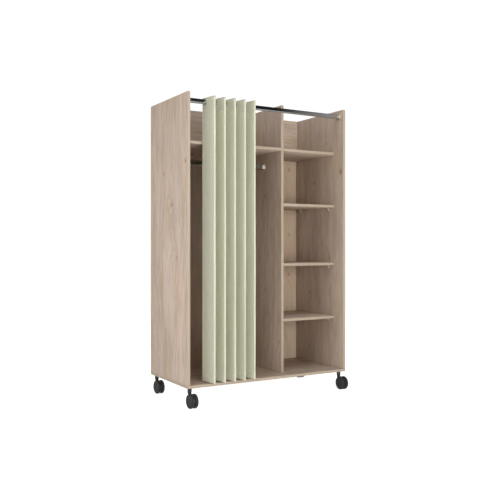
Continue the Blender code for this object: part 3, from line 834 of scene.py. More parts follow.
def new_tree(name, sockets):
    """A geometry tree, its add_node and its inputs. Each has a default, or only a socket type."""
    tree = bpy.data.node_groups.new(name, "GeometryNodeTree")
    for way in ("OUTPUT", "INPUT"):
        tree.interface.new_socket("Geometry", in_out=way, socket_type="NodeSocketGeometry")
    for label, value in {**sockets, "Material": "Material"}.items():
        typed = isinstance(value, str)
        kind = value if typed else type(value).__name__.capitalize()
        socket = tree.interface.new_socket(label, in_out="INPUT", socket_type=f"NodeSocket{kind}")
        if not typed:
            socket.default_value = value
    add = functools.partial(add_node, tree)
    return tree, add, add("NodeGroupInput").outputs


def end_tree(tree, geometry, material):
    """Realised instances, then the material, then the output."""
    real = add_node(tree, "GeometryNodeRealizeInstances", (geometry,))
    painted = add_node(tree, "GeometryNodeSetMaterial", {"Geometry": real, "Material": material})
    add_node(tree, "NodeGroupOutput", (painted,))
    return tree


def grown(name, mesh, tree, *values):
    """The plain object that a tree makes from a mesh. Values follow the order of its inputs."""
    thing = link_object(name, mesh)
    modifier = thing.modifiers.new(tree.name, "NODES")
    modifier.node_group = tree
    inputs = [item for item in tree.interface.items_tree if item.in_out == "INPUT"]
    for item, value in zip(inputs[1:], values, strict=True):
        modifier[item.identifier] = value
    settle(thing)
    return thing


def wire_mesh(name, lines):
    """Lines of (place, way) pairs as edges, with each way kept. A line of one is a loose point."""
    pairs = [pair for line in lines for pair in line]
    edges, first = [], 0
    for line in lines:
        edges += [(i, i + 1) for i in range(first, first + len(line) - 1)]
        first += len(line)
    mesh = bpy.data.meshes.new(name)
    mesh.from_pydata([tuple(place) for place, _ in pairs], edges, [])
    layer = mesh.attributes.new(FACING, "FLOAT_VECTOR", "POINT")
    for item, (_, way) in zip(layer.data, pairs):
        item.vector = way
    return mesh


def instances_facing(add, points, instance, axis="Z"):
    """Copies of an instance on points, turned so that an axis follows their ways."""
    way = add("GeometryNodeInputNamedAttribute", (FACING,), data_type="FLOAT_VECTOR")
    turn = add("FunctionNodeAlignRotationToVector", {"Vector": way}, axis=axis)
    inputs = {"Points": points, "Instance": instance, "Rotation": turn}
    return add("GeometryNodeInstanceOnPoints", inputs)


def screw_tree():
    """Domed heads with a cross recess, one at each point."""
    sockets = {"Head radius": 0.002, "Head height": 0.001, "Recess width": 0.0006}
    tree, add, given = new_tree("screw heads", sockets)
    points, radius, height, width, material, _ = given
    ball = add("GeometryNodeMeshUVSphere", (20, 10, 1.0))
    shape = add("CombineXYZ", (radius, radius, height))
    head = add("GeometryNodeTransform", {"Geometry": ball, "Scale": shape})
    reach = add("Math", (radius, 1.2), operation="MULTIPLY")
    lift = add("CombineXYZ", {"Z": height})
    slots = [
        add("GeometryNodeTransform", {
            "Geometry": add("GeometryNodeMeshCube", (add("CombineXYZ", (*sides, height)),)),
            "Translation": lift,
        })
        for sides in ((reach, width), (width, reach))
    ]
    inputs = {"Mesh 1": head, "Mesh 2": slots}
    cut = add("GeometryNodeMeshBoolean", inputs, operation="DIFFERENCE", solver="EXACT")
    return end_tree(tree, instances_facing(add, points, cut), material)


def disc_tree():
    """Flat round heads or caps with a raised rim, one at each point."""
    sockets = {"Head radius": 0.002, "Head height": 0.0005, "Recess radius": 0.001, "Recess sides": 24}
    tree, add, given = new_tree("flat heads", sockets)
    points, radius, height, recess, sides, material, _ = given
    double = add("Math", (height, 2.0), operation="MULTIPLY")
    disc = add("GeometryNodeMeshCylinder", {"Vertices": 24, "Radius": radius, "Depth": double})
    pit = add("GeometryNodeMeshCylinder", {"Vertices": sides, "Radius": recess, "Depth": height})
    lift = add("CombineXYZ", {"Z": height})
    raised = add("GeometryNodeTransform", {"Geometry": pit, "Translation": lift})
    inputs = {"Mesh 1": disc, "Mesh 2": raised}
    cut = add("GeometryNodeMeshBoolean", inputs, operation="DIFFERENCE", solver="EXACT")
    return end_tree(tree, instances_facing(add, points, cut), material)


def fitting_tree():
    """Copies of one moulded fitting, one at each point."""
    tree, add, given = new_tree("fittings", {"Fitting": "Object"})
    info = add("GeometryNodeObjectInfo", (given["Fitting"],))
    copies = instances_facing(add, given["Geometry"], info.outputs["Geometry"], "X")
    return end_tree(tree, copies, given["Material"])


def prism(outline, near, far):
    """A solid whose (x, z) outline runs along Y."""
    bm = bmesh.new()
    rows = [[bm.verts.new((x, y, z)) for x, z in outline] for y in (near, far)]
    for row in rows:
        bm.faces.new(row)
    for i in range(len(outline)):
        bm.faces.new((rows[0][i - 1], rows[0][i], rows[1][i], rows[1][i - 1]))
    bmesh.ops.recalc_face_normals(bm, faces=bm.faces)
    return bm


def support_shape():
    """One shelf support on a wall at x = 0 that looks towards +X, below a shelf at z = 0.

    A three-cornered bracket with a rib-thin web between its top and back plates, and a pin.
    """
    low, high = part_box(SUPPORTS[0])
    reach, drop, breadth, lip = 0.012, 0.020, high.y - low.y, 0.002
    outline = [(FIT, -FIT), (reach, -FIT), (reach, -FIT - lip), (FIT + lip, -drop), (FIT, -drop)]
    bm = prism(eased(outline, 0.0006, closed=True), -breadth / 2, breadth / 2)
    round_rims(bm, 0.0004, 2)
    thing = link_object("support shape", mesh_of(bm, "support shape"))

    # Hollow cheeks leave a web 1.6 mm thick in the middle
    pocket = [(0.0032, -0.0030), (0.0094, -0.0030), (0.0032, -0.0152)]
    cheeks = [prism(pocket, side * 0.0008, side * breadth) for side in (-1, 1)]
    apply_boolean(thing, joined(cheeks), "DIFFERENCE")
    outline = eased([(0.0018, -0.009), (PIN_R, -0.0075), (PIN_R, 0.002)], 0.0005)
    apply_boolean(thing, moved(lathe(outline, SMALL_SIDES), 0, 0, -PIN_DROP), "UNION")
    shade(thing.data)
    return thing


def make_supports():
    places = []
    for node in SUPPORTS:
        right = "_right_" in node
        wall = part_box("right_side_board")[0].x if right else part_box("divider")[1].x
        place = (wall, middle(node).y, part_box(node)[1].z + FIT)
        places.append([(place, (-1.0 if right else 1.0, 0.0, 0.0))])
    shape = support_shape()
    mesh = wire_mesh("shelf supports", places)
    thing = grown("shelf_supports", mesh, fitting_tree(), shape, once(milky_plastic))
    bpy.data.objects.remove(shape)
    set_piece(thing, "carcass", SUPPORTS)


def make_tube(node):
    """A chromed tube with its bore, eased at both ends: round, or oval with a core between."""
    low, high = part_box(node)
    radius, half = (high.y - low.y) / 2, (high.x - low.x) / 2
    inner = radius - TUBE_WALL
    outline = [(radius, -half), (radius, half), (inner, half), (inner, -half)]
    bm = lathe(eased(outline, 0.0003, True), ROUND_SIDES, oval_core(node), closed=True)
    make_piece(moved(bm, *middle(node)), f"{node}_tube", chrome, "carcass", node)


def oval_core(node):
    """How much higher than deep a tube is."""
    low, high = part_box(node)
    return max(0.0, (high.z - low.z) - (high.y - low.y))


def make_holders(tube, holder, thickness, rim, slope, seat, ease):
    """The two cups or brackets of a tube: a flange with a soft rim, and a collar for the tube's end."""
    low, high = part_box(tube)
    bore = (high.y - low.y) / 2 + FIT
    collar = bore + thickness
    for side, sign in SIDES:
        node = f"{side}_{holder}"
        low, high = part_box(node)
        flange, length = (high.y - low.y) / 2, high.x - low.x
        outline = [
            (flange, 0.0), (flange, rim), (flange - slope, seat), (collar, seat),
            (collar, length), (bore, length), (bore, seat),
        ]
        bm = against_wall(lathe(eased(outline, ease), ROUND_SIDES, oval_core(tube)), node, sign)
        make_piece(bm, f"{node}_turned", satin_nickel, "carcass", node)


def screw_places():
    """The screws in the cups and brackets. Each place has the way that its screw faces."""
    places = []
    for kind, seat, rim in (("rod_cup", 0.0029, 0.0027), ("rail_bracket", 0.0024, 0.0031)):
        for side, sign in SIDES:
            node = f"{side}_{kind}"
            low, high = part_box(node)
            x, y = inner_side(node, sign) + sign * seat, middle(node).y
            places += [((x, y, z), (sign, 0, 0)) for z in (low.z + rim, high.z - rim)]
    return places


def bolt_places():
    """The bolts that come up through the bottom board into the uprights."""
    places = []
    for node in ("left_side_board", "divider", "right_side_board"):
        low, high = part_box(node)
        for share in (0.22, 0.50, 0.80):
            y = low.y + (high.y - low.y) * share
            places.append(((middle(node).x, y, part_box("bottom_board")[0].z), (0, 0, -1)))
    return places


def cam_places():
    """The capped cams under the two fixed shelves."""
    places = []
    for side, _ in SIDES:
        low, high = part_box(f"{side}_top_shelf")
        for x in (low.x + 0.034, high.x - 0.034):
            places += [((x, y, low.z), (0, 0, -1)) for y in (low.y + 0.060, high.y - 0.070)]
    return places


def nail_places():
    """The nails along every board that the back sheets lie on."""
    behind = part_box("left_back_sheet")[1].y
    runs = []
    for node in ("left_side_board", "right_side_board", "divider"):
        low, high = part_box(node)
        across = (low.x + 0.0035, high.x - 0.0035) if node == "divider" else (middle(node).x,)
        runs += [((x, low.z + 0.030), (x, high.z - 0.030)) for x in across]
    for node in ("bottom_board", "left_top_shelf", "right_top_shelf", "left_back_rail", "right_back_rail"):
        low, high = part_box(node)
        z = high.z - 0.012 if "back_rail" in node else middle(node).z
        runs.append(((low.x + 0.060, z), (high.x - 0.060, z)))
    places = []
    for start, end in runs:
        start, end = Vector(start), Vector(end)
        count = max(2, round((end - start).length / sizes().nail_pitch) + 1)
        for i in range(count):
            at = start.lerp(end, i / (count - 1))
            places.append(((at.x, behind, at.y), (0, 1, 0)))
    return places


def make_fasteners():
    size = sizes()
    screws, discs = screw_tree(), disc_tree()
    cap = size.cam_cap

    # A screw's values are its head's radius and height, and its recess's width. A disc's are its
    # head's radius and height, and its recess's radius and sides
    for name, places, tree, maker, values in (
        ("fixing_screws", screw_places(), screws, zinc, (size.screw_head, size.screw_dome, 0.0006)),
        ("board_bolts", bolt_places(), discs, zinc, (size.bolt_head, 0.0003, 0.0022, 6)),
        ("cam_caps", cam_places(), discs, milky_plastic, (cap, 0.0006, cap - 0.0008, 24)),
        ("back_nails", nail_places(), discs, zinc, (size.nail_head, 0.0004, size.nail_head * 0.4, 12)),
    ):
        mesh = wire_mesh(name, [[place] for place in places])
        thing = grown(name, mesh, tree, *values, once(maker))
        set_piece(thing, "carcass")


def arc(centre, radius, start, end, steps):
    """Points (x, y) round a centre, both ends taken."""
    angles = [start + (end - start) * i / steps for i in range(steps + 1)]
    return [(centre[0] + radius * math.cos(a), centre[1] + radius * math.sin(a)) for a in angles]


def eyelet_outline(bore, rim, half):
    """One eyelet's section: two rolled rims that pinch the cloth, as (radius, x) points."""
    crown, seat = (bore + rim) / 2, half - 0.001
    right = []
    for i in range(9):
        angle = math.pi * i / 8
        radius = crown - (rim - bore) / 2 * math.cos(angle)
        right.append((radius, seat + 0.0002 + (half - seat - 0.0002) * math.sin(angle)))
    right += [(rim - 0.0002, seat), (bore + 0.0012, seat)]
    return right + [(radius, -x) for radius, x in reversed(right)]


def make_eyelets():
    low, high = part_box(EYELETS[0])
    lean = fold_plan().lean
    rim = (high.z - low.z) / 2
    outline = eyelet_outline(bore=rim - 0.0037, rim=rim, half=0.0021)
    for i, node in enumerate(EYELETS):
        bm = lathe(outline, TURNED_SIDES, closed=True)
        turn = Matrix.Rotation(-lean if i % 2 else lean, 4, "Z")
        bm = placed(bm, Matrix.Translation(middle(node)) @ turn)
        make_piece(bm, f"{node}_ring", nickel, EYELET_BODIES[i], node)


def fold_plan():
    """The folds' plan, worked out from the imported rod, eyelets and cloth."""
    size = sizes()
    centres = [middle(node) for node in EYELETS]
    low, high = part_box("curtain")
    rod = middle("curtain_rod")
    spread, pitch = (centres[1].x - centres[0].x) / 2, centres[2].x - centres[0].x
    nose_reach = rod.y - low.y - size.doubled_cloth / 2 - size.fold_nose
    back_reach = high.y - rod.y - size.doubled_cloth / 2
    lean = math.atan2(spread, nose_reach) - math.asin(size.fold_nose / math.hypot(spread, nose_reach))
    turn_room = (pitch / 2 - spread) / math.cos(lean)
    spare = (1 - math.sin(lean)) * math.tan(lean)
    back = (back_reach - (1 - math.sin(lean)) * turn_room) / (math.cos(lean) - spare)
    turn_r = turn_room - back * math.tan(lean)
    return types.SimpleNamespace(
        rod=rod, centres=centres, spread=spread, pitch=pitch, nose_reach=nose_reach, lean=lean,
        turn_r=turn_r, turn_back=back * math.cos(lean) - turn_r * math.sin(lean),
        back_x=spread + back * math.sin(lean), back_y=back * math.cos(lean), low=low, high=high,
    )


def cloth_strips(plan):
    """The cloth parted at the eyelets: each strip has a name, two bodies, a path, a start and a length.

    A strip is a fold in front of the rod, or a turn behind it. Its path runs in plan, and
    its start is how far along the whole cloth it begins.
    """
    lean, spread = plan.lean, plan.spread
    last = len(EYELETS) - 2

    # Each end of the cloth leans outwards behind its last eyelet
    tail = [
        (plan.back_x - 0.0018, plan.back_y - 0.0098),
        (plan.back_x - 0.0006, plan.back_y - 0.0045),
        (plan.back_x + sizes().end_turn, plan.back_y),
    ]
    strips, start = [], 0.0
    for i in range(last + 1):
        fold, behind = divmod(i, 2)
        x = plan.centres[0].x + spread + fold * plan.pitch
        if behind:
            bow = arc((x + plan.pitch / 2, plan.turn_back), plan.turn_r, math.pi - lean, lean, 16)
            path = [(x + spread, 0.0), *bow, (x + plan.pitch - spread, 0.0)]
        else:
            nose = (x, -plan.nose_reach)
            bow = arc(nose, sizes().fold_nose, math.pi + lean, math.tau - lean, 16)
            path = [(x - spread, 0.0), *bow, (x + spread, 0.0)]
        if i == 0:
            path = [(x - a, b) for a, b in reversed(tail)] + path
        if i == last:
            path += [(x + a, b) for a, b in tail]
        path = [(x, y + plan.rod.y) for x, y in path]
        length = sum(math.dist(a, b) for a, b in zip(path, path[1:]))
        name = f"curtain_{'turn' if behind else 'fold'}_{fold + 1}"
        strips.append((name, EYELET_BODIES[i], EYELET_BODIES[i + 1], path, start, length))
        start += length
    return strips, start


def cloth_tree():
    """Hangs a sheet from a line in plan: a grid whose columns follow the line's length.

    Below the rod the folds wander a little, more towards the foot, and the flats hold
    soft upright creases. Nothing moves at the rod or behind it.
    """
    tree, add, given = new_tree("hanging cloth", {
        "Columns": 80, "Rows": 100, "Bottom": 0.12, "Height": 1.46, "Start": 0.0, "Rod": -0.18,
        "Reach": 0.08, "Sway": 0.002, "Crease": 0.0004, "Seed": CLOTH_SEED,
    })
    line = add("GeometryNodeMeshToCurve", (given["Geometry"],))
    measured = add("GeometryNodeCurveLength", (line,))
    grid = add("GeometryNodeMeshGrid", (1.0, 1.0, given["Columns"], given["Rows"])).outputs
    along, upward, _ = add("SeparateXYZ", (grid["UV Map"],)).outputs
    inputs = {"Curves": line, "Factor": along}
    at = add("GeometryNodeSampleCurve", inputs, mode="FACTOR", use_all_curves=True).outputs
    rise = add("Math", (upward, given["Height"], given["Bottom"]), operation="MULTIPLY_ADD")
    hung = add("VectorMath", (at["Position"], add("CombineXYZ", {"Z": rise})), operation="ADD")
    run = add("Math", (along, measured, given["Start"]), operation="MULTIPLY_ADD")

    # Sideways is square to the line, and fades to nothing at the rod and at the top
    side = add("VectorMath", (at["Tangent"], (0.0, 0.0, 1.0)), operation="CROSS_PRODUCT")
    spot = add("SeparateXYZ", (at["Position"],)).outputs
    forward = add("Math", (given["Rod"], spot["Y"]), operation="SUBTRACT")
    ahead = add("MapRange", (forward, 0.018, given["Reach"]), interpolation_type="SMOOTHSTEP")
    below = add("MapRange", (upward, 0.96, 0.15), interpolation_type="SMOOTHSTEP")
    free = add("Math", (ahead, below), operation="MULTIPLY")
    shifts = []
    for scale, amount, strength in (
        ((10.8, 2.24, 1.0), given["Sway"], free), ((540.0, 1.54, 1.0), given["Crease"], ahead)
    ):
        squeeze = add("CombineXYZ", (run, rise, given["Seed"]))
        scaled = add("VectorMath", (squeeze, scale), operation="MULTIPLY")
        shift = add("TexNoise", {"Vector": scaled, "Scale": 1.0, "Detail": 1.0})
        for value, operation in ((0.5, "SUBTRACT"), (amount, "MULTIPLY"), (strength, "MULTIPLY")):
            shift = add("Math", (shift, value), operation=operation)
        shifts.append(shift)
    shift = add("Math", shifts, operation="ADD")

    # The noise stays within about a quarter of its middle, so it is made four times as large
    full = add("Math", (shift, 4.0), operation="MULTIPLY")
    offset = add("VectorMath", {0: side, "Scale": full}, operation="SCALE")
    inputs = {"Geometry": grid["Mesh"], "Position": hung, "Offset": offset}
    sheet = add("GeometryNodeSetPosition", inputs)
    flat = add("CombineXYZ", (run, rise))
    for name, value, kind, domain in (
        (RUN, run, "FLOAT", "POINT"), (WEAVE_MAP, flat, "FLOAT2", "CORNER")
    ):
        inputs = {"Geometry": sheet, "Name": name, "Value": value}
        sheet = add("GeometryNodeStoreNamedAttribute", inputs, data_type=kind, domain=domain)
    return end_tree(tree, sheet, given["Material"])


def stitch_tree():
    """Stitches along lines, on both faces of the cloth."""
    sockets = {"Pitch": 0.004, "Stitch": 0.003, "Thread": 0.0005, "Lift": 0.0008}
    tree, add, given = new_tree("stitches", sockets)
    lines, pitch, length, thread, lift, material, _ = given
    line = add("GeometryNodeMeshToCurve", (lines,))
    dots = add("GeometryNodeCurveToPoints", {"Curve": line, "Length": pitch}, mode="LENGTH").outputs
    grain = add("GeometryNodeMeshUVSphere", (6, 4, 0.5))
    shape = add("CombineXYZ", (length, thread, thread))
    out = add("GeometryNodeInputNamedAttribute", (FACING,), data_type="FLOAT_VECTOR")
    lay = add("FunctionNodeAlignRotationToVector", {"Vector": dots["Tangent"]}, axis="X")
    faces = []
    for sign in (1.0, -1.0):
        signed = add("Math", (lift, sign), operation="MULTIPLY")
        rise = add("VectorMath", {0: out, "Scale": signed}, operation="SCALE")
        raised = add("GeometryNodeSetPosition", {"Geometry": dots["Points"], "Offset": rise})
        inputs = {"Points": raised, "Instance": grain, "Rotation": lay, "Scale": shape}
        faces.append(add("GeometryNodeInstanceOnPoints", inputs))
    return end_tree(tree, add("GeometryNodeJoinGeometry", (faces,)), material)


def cut_hole(bm, centre, radius):
    """Opens a round hole and draws the cut edge onto its circle."""
    inside = [v for v in bm.verts if (v.co - centre).length < radius]
    if not inside:
        raise ValueError(f"no cloth at {tuple(centre)} to cut an eyelet's hole in")
    bmesh.ops.delete(bm, geom=inside, context="VERTS")
    for vert in bm.verts:
        away = vert.co - centre
        if vert.is_boundary and away.length < radius + 1.6 * FINE_ROW_SPACING:
            on_seam = sum(1 for e in vert.link_edges if e.is_boundary) == 2
            if on_seam and away.length > 1e-6 and len(vert.link_faces) > 1:
                vert.co = centre + away.normalized() * radius


def stitch_lines(bm, run_layer, heights, runs):
    """The lines that the stitches follow: level ones at heights, upright ones at runs."""
    bm.normal_update()
    lines = []
    for height in heights:
        row = [v for v in bm.verts if abs(v.co.z - height) < 2e-6]
        lines.append(sorted(row, key=lambda v: v[run_layer])[2:-2])
    for run in runs:
        nearest = min((v[run_layer] for v in bm.verts), key=lambda r: abs(r - run))
        column = [v for v in bm.verts if abs(v[run_layer] - nearest) < 1e-5]
        lines.append(sorted(column, key=lambda v: v.co.z)[1:-2])
    return [[(v.co.copy(), v.normal.copy()) for v in line] for line in lines]


def thicken(thing):
    """Gives the cloth its two thicknesses: the doubled one in its group of vertices."""
    thing.vertex_groups.new(name=DOUBLED)
    solid = thing.modifiers.new("cloth", "SOLIDIFY")
    solid.thickness = sizes().doubled_cloth
    solid.offset = 0.0
    solid.use_even_offset = True
    solid.vertex_group = DOUBLED
    solid.thickness_vertex_group = sizes().single_cloth_share
    settle(thing)
    thing.vertex_groups.clear()
    shade(thing.data, CLOTH_ANGLE)


def make_curtain():
    size = sizes()
    plan = fold_plan()
    low, high, centres = plan.low, plan.high, plan.centres
    strips, whole = cloth_strips(plan)
    hanging, stitching = cloth_tree(), stitch_tree()
    height = high.z - low.z
    heading_z, hem_z = high.z - size.heading, low.z + size.hem
    ring_low, ring_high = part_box(EYELETS[0])
    hole_r = (ring_high.z - ring_low.z) / 2 - 0.0022
    seams = (heading_z + 0.002, hem_z - 0.002)
    rows = [centres[0].z + FINE_ROW_SPACING * i for i in range(-8, 9)]
    rows = [z for z in rows if low.z < z < high.z - HEM_STEP]
    rows += [heading_z, heading_z + HEM_STEP, hem_z, hem_z - HEM_STEP, *seams]
    for index, (name, near, far, path, start, length) in enumerate(strips):
        line = wire_mesh(name, [[((x, y, 0.0), (0, 0, 0)) for x, y in path]])
        thing = grown(
            name, line, hanging,
            round(length / COLUMN_SPACING) + 1, round(height / ROW_SPACING) + 1, low.z, height, start,
            plan.rod.y, plan.nose_reach, size.sway, size.crease, CLOTH_SEED, once(woven_polyester),
        )
        bm = bmesh.new()
        bm.from_mesh(thing.data)
        for row in rows:
            cut_plane(bm, (0, 0, row), (0, 0, 1), 1e-6)
        for centre in centres[index : index + 2]:
            cut_hole(bm, centre, hole_r)
        run_layer = bm.verts.layers.float[RUN]

        # The doubled band at each end of the cloth, and the seam along it
        sides, runs = [], []
        if index == 0:
            sides.append((0.0, size.side_hem))
            runs.append(size.side_hem * 0.85)
        if index == len(strips) - 1:
            sides.append((whole - size.side_hem, whole))
            runs.append(whole - size.side_hem * 0.85)
        lines = stitch_lines(bm, run_layer, seams, runs)
        deform = bm.verts.layers.deform.verify()
        for vert in bm.verts:
            run, z = vert[run_layer], vert.co.z
            doubled = z > heading_z + HEM_STEP / 2 or z < hem_z - HEM_STEP / 2
            vert[deform][0] = float(doubled or any(a <= run <= b for a, b in sides))
        bm.to_mesh(thing.data)
        bm.free()
        thicken(thing)

        thread_name = name.replace("curtain", "stitching")
        thread = grown(
            thread_name, wire_mesh(thread_name, lines), stitching,
            size.stitch_pitch, size.stitch, size.thread, size.doubled_cloth / 2 + size.thread * 0.1,
            once(sewing_thread),
        )
        for piece in (thing, thread):
            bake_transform(piece, near, far, start=tuple(centres[index]), end=tuple(centres[index + 1]))
        if index == 0:
            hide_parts("curtain")


def make_castor_body(castor):
    """The castor's moulding: a round web between the wheels, a neck and the axle."""
    node = f"{castor}_castor_fork"
    low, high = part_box(node)
    stem, wheel = middle(f"{castor}_castor_stem"), middle(f"{castor}_castor_left_wheel")
    neck_r = high.y - stem.y
    half_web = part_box(f"{castor}_castor_right_wheel")[0].x - stem.x - 0.00075
    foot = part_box(f"{castor}_castor_stem")[0].z - FIT - 0.004
    outline = arc((wheel.y, wheel.z), wheel.z - low.z, 0.0, math.tau, ROUND_SIDES)[:-1]
    outline += [(stem.y + side * neck_r * 0.98, foot + 0.004) for side in (-1, 1)]
    outline += [(stem.y + neck_r * 0.98, foot + 0.001)]
    bm = bmesh.new()
    for x in (-half_web, half_web):
        for y, z in outline:
            bm.verts.new((stem.x + x, y, z))
    hull = bmesh.ops.convex_hull(bm, input=bm.verts)
    inside = [v for v in hull["geom_interior"] if isinstance(v, bmesh.types.BMVert)]
    bmesh.ops.delete(bm, geom=inside, context="VERTS")
    bmesh.ops.dissolve_limit(bm, angle_limit=math.radians(0.5), verts=bm.verts, edges=bm.edges)
    round_rims(bm, 0.0012, 3)
    bmesh.ops.recalc_face_normals(bm, faces=bm.faces)
    name = f"{castor}_castor_body"
    thing = link_object(name, mesh_of(bm, name, [once(castor_nylon)]))

    # The neck swells above the wheels, with a bearing ring at its top and a bore for the stem
    bore, swell, ring, top = STEM_R + FIT, neck_r + 0.0014, neck_r + 0.0007, high.z
    neck = [
        (neck_r - 0.0012, foot), (neck_r, foot + 0.0015), (neck_r, foot + 0.0080),
        (swell, foot + 0.0110), (swell, top - 0.0080), (ring, top - 0.0075), (ring, top - 0.0065),
        (swell, top - 0.0060), (swell, top - 0.0015), (swell - 0.0015, top), (bore, top),
        (bore, foot + 0.004),
    ]
    reach = (high.x - low.x) / 2
    axle = moved(bar(0.004, -reach, reach), stem.x, wheel.y, wheel.z)
    apply_boolean(thing, upright(lathe(eased(neck, 0.0005), TURNED_SIDES), stem.x, stem.y), "UNION")
    apply_boolean(thing, axle, "UNION")
    hollow = upright(bar(bore, foot + 0.004, top + 0.002, TURNED_SIDES), stem.x, stem.y)
    apply_boolean(thing, hollow, "DIFFERENCE")
    shade(thing.data)
    set_piece(thing, f"{castor}_castor", [node])


def wheel_outline(radius, width):
    """A wheel's section from its bore out to its domed face, as (radius, x) points."""
    tread_end, hub, steps = width - 0.009, 0.012, 14
    points = [
        (0.0043, width - 0.007), (0.0043, 0.0), (0.0085, 0.0), (0.0095, 0.0012),
        (radius - 0.0070, 0.0012), (radius - 0.0060, 0.0), (radius - 0.0020, 0.0),
        (radius - 0.0005, 0.0008), (radius, 0.0024), (radius, tread_end - 0.0006),
        (radius - 0.0005, tread_end - 0.0002), (radius - 0.0005, tread_end + 0.0003),
    ]
    for i in range(1, steps + 1):
        angle = math.pi / 2 * i / steps
        swell = hub + (radius - hub) * math.cos(angle)
        points.append((swell, tread_end + 0.009 * math.sin(angle)))
    return points + [
        (hub - 0.0003, width - 0.0006), (hub - 0.0009, width - 0.0006), (hub - 0.0012, width - 0.0001),
        (hub * 0.55, width), (hub * 0.15, width),
    ]


def make_castors():
    for castor in CASTORS:
        make_castor_body(castor)
        for side, sign in (("left", -1), ("right", 1)):
            body = f"{castor}_castor_{side}_wheel"
            low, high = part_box(body)
            bm = lathe(wheel_outline((high.z - low.z) / 2, high.x - low.x), WHEEL_SIDES)
            name = f"{castor}_castor_{side}_tyre"
            make_piece(against_wall(bm, body, sign), name, castor_tread, body, body)
        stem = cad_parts[f"{castor}_castor_stem"].data
        stem.materials.clear()
        stem.materials.append(once(dark_steel))
        shade(stem)


def make_floor():
    """A pale floor that glows a little, and shows white as a well lit studio floor does."""
    reach = 14.0
    bm = bmesh.new()
    corners = ((-reach, -reach), (reach, -reach), (reach, reach), (-reach, reach))
    bm.faces.new([bm.verts.new((x, y, 0.0)) for x, y in corners])
    material, add = new_material("matt painted floor")
    seen = add("LightPath").outputs["Is Camera Ray"]
    add_surface(add, {
        "Base Color": toned(add, colours().floor, solid_noise(add, 400, 2.0), (0.0, 1.0, 0.99, 1.01)),
        "Roughness": 0.9,
        "Specular IOR Level": 0.1,
        "Emission Color": WHITE,
        "Emission Strength": add("Math", (seen, 0.60, 0.22), operation="MULTIPLY_ADD"),
    })
    floor = link_object("studio_floor", mesh_of(bm, "studio_floor", [material]))
    floor.visible_glossy = False


def make_surround():
    """Seen straight on, the surround is white. Polished metal sees a dark room with a pale floor,
    a bright window to the left and a dim one to the right."""
    world = bpy.data.worlds.new("studio")
    world.use_nodes = True
    world.node_tree.nodes.clear()
    add = functools.partial(add_node, world.node_tree)
    ray = add("LightPath").outputs
    toward = add("SeparateXYZ", (add("TexCoord").outputs["Generated"],)).outputs
    dark = mirrored = 0.015
    for axis, start, end, strength in (
        ("Z", -0.62, -0.82, 0.80), ("X", -0.20, -0.50, 0.60), ("X", 0.56, 0.72, 0.40)
    ):
        patch = add("MapRange", (toward[axis], start, end, dark, strength))
        mirrored = add("Math", (patch, mirrored), operation="MAXIMUM")
    room, seen, shine = (add("Background", (WHITE, strength)) for strength in (0.235, 1.05, mirrored))
    lit = add("MixShader", (ray["Is Glossy Ray"], room, shine))
    add("OutputWorld", (add("MixShader", (ray["Is Camera Ray"], lit, seen)),))
    bpy.context.scene.world = world


def make_stage():
    """The floor, the surround, soft light from the front, the top and the left, and the camera."""
    make_floor()
    make_surround()
    target = Vector((0.0, 0.0, 0.8))
    for name, place, size, power, shines in (
        ("front_light", (-0.6, -4.4, 0.9), (2.0, 1.6), 112.0, True),
        ("top_light", (-0.5, -1.5, 4.0), (3.5, 3.0), 54.0, False),
        ("near_left_light", (-4.0, -1.5, 1.6), (2.4, 2.4), 30.0, True),
        ("far_left_light", (-4.0, 1.0, 1.6), (2.4, 2.4), 56.0, True),
    ):
        data = bpy.data.lights.new(name, "AREA")
        data.shape = "RECTANGLE"
        data.size, data.size_y = size
        data.energy = power
        lamp = link_object(name, data)
        lamp.location = place
        lamp.rotation_euler = (Vector(place) - target).to_track_quat("Z", "Y").to_euler()
        lamp.visible_glossy = shines
        lamp.visible_camera = False
    camera = bpy.data.cameras.new("camera")
    camera.lens = 50.97
    camera.sensor_width = 36.0
    camera.shift_y = -0.01065
    camera.clip_end = 60.0
    eye = link_object("camera", camera)
    eye.location = (-2.0297, -3.44945, 0.8262)
    eye.rotation_euler = (math.radians(90.0), 0.0, math.radians(-30.42))
    bpy.context.scene.camera = eye
    bpy.context.scene.view_settings.view_transform = "Standard"


class WARDROBE_OT_boards(bpy.types.Operator):
    """Make the side boards, divider, bottom board, shelves and rails"""

    bl_idname = "wardrobe.boards"
    bl_label = "Boards"

    def execute(self, context):
        make_boards()
        return {"FINISHED"}


class WARDROBE_OT_back_sheets(bpy.types.Operator):
    """Make the two printed back sheets"""

    bl_idname = "wardrobe.back_sheets"
    bl_label = "Back sheets"

    def execute(self, context):
        make_back_sheets()
        return {"FINISHED"}


class WARDROBE_OT_shelf_supports(bpy.types.Operator):
    """Make the twelve shelf supports"""

    bl_idname = "wardrobe.shelf_supports"
    bl_label = "Shelf supports"

    def execute(self, context):
        make_supports()
        return {"FINISHED"}


class WARDROBE_OT_curtain_rod(bpy.types.Operator):
    """Make the curtain rod and its cups"""

    bl_idname = "wardrobe.curtain_rod"
    bl_label = "Curtain rod"

    def execute(self, context):
        make_tube("curtain_rod")
        make_holders(
            "curtain_rod", "rod_cup", thickness=0.003, rim=0.0022, slope=0.004, seat=0.003, ease=0.0009
        )
        return {"FINISHED"}


class WARDROBE_OT_hanging_rail(bpy.types.Operator):
    """Make the oval hanging rail and its brackets"""

    bl_idname = "wardrobe.hanging_rail"
    bl_label = "Hanging rail"

    def execute(self, context):
        make_tube("hanging_rail")
        make_holders(
            "hanging_rail", "rail_bracket",
            thickness=0.002, rim=0.0018, slope=0.003, seat=0.0025, ease=0.0007,
        )
        return {"FINISHED"}


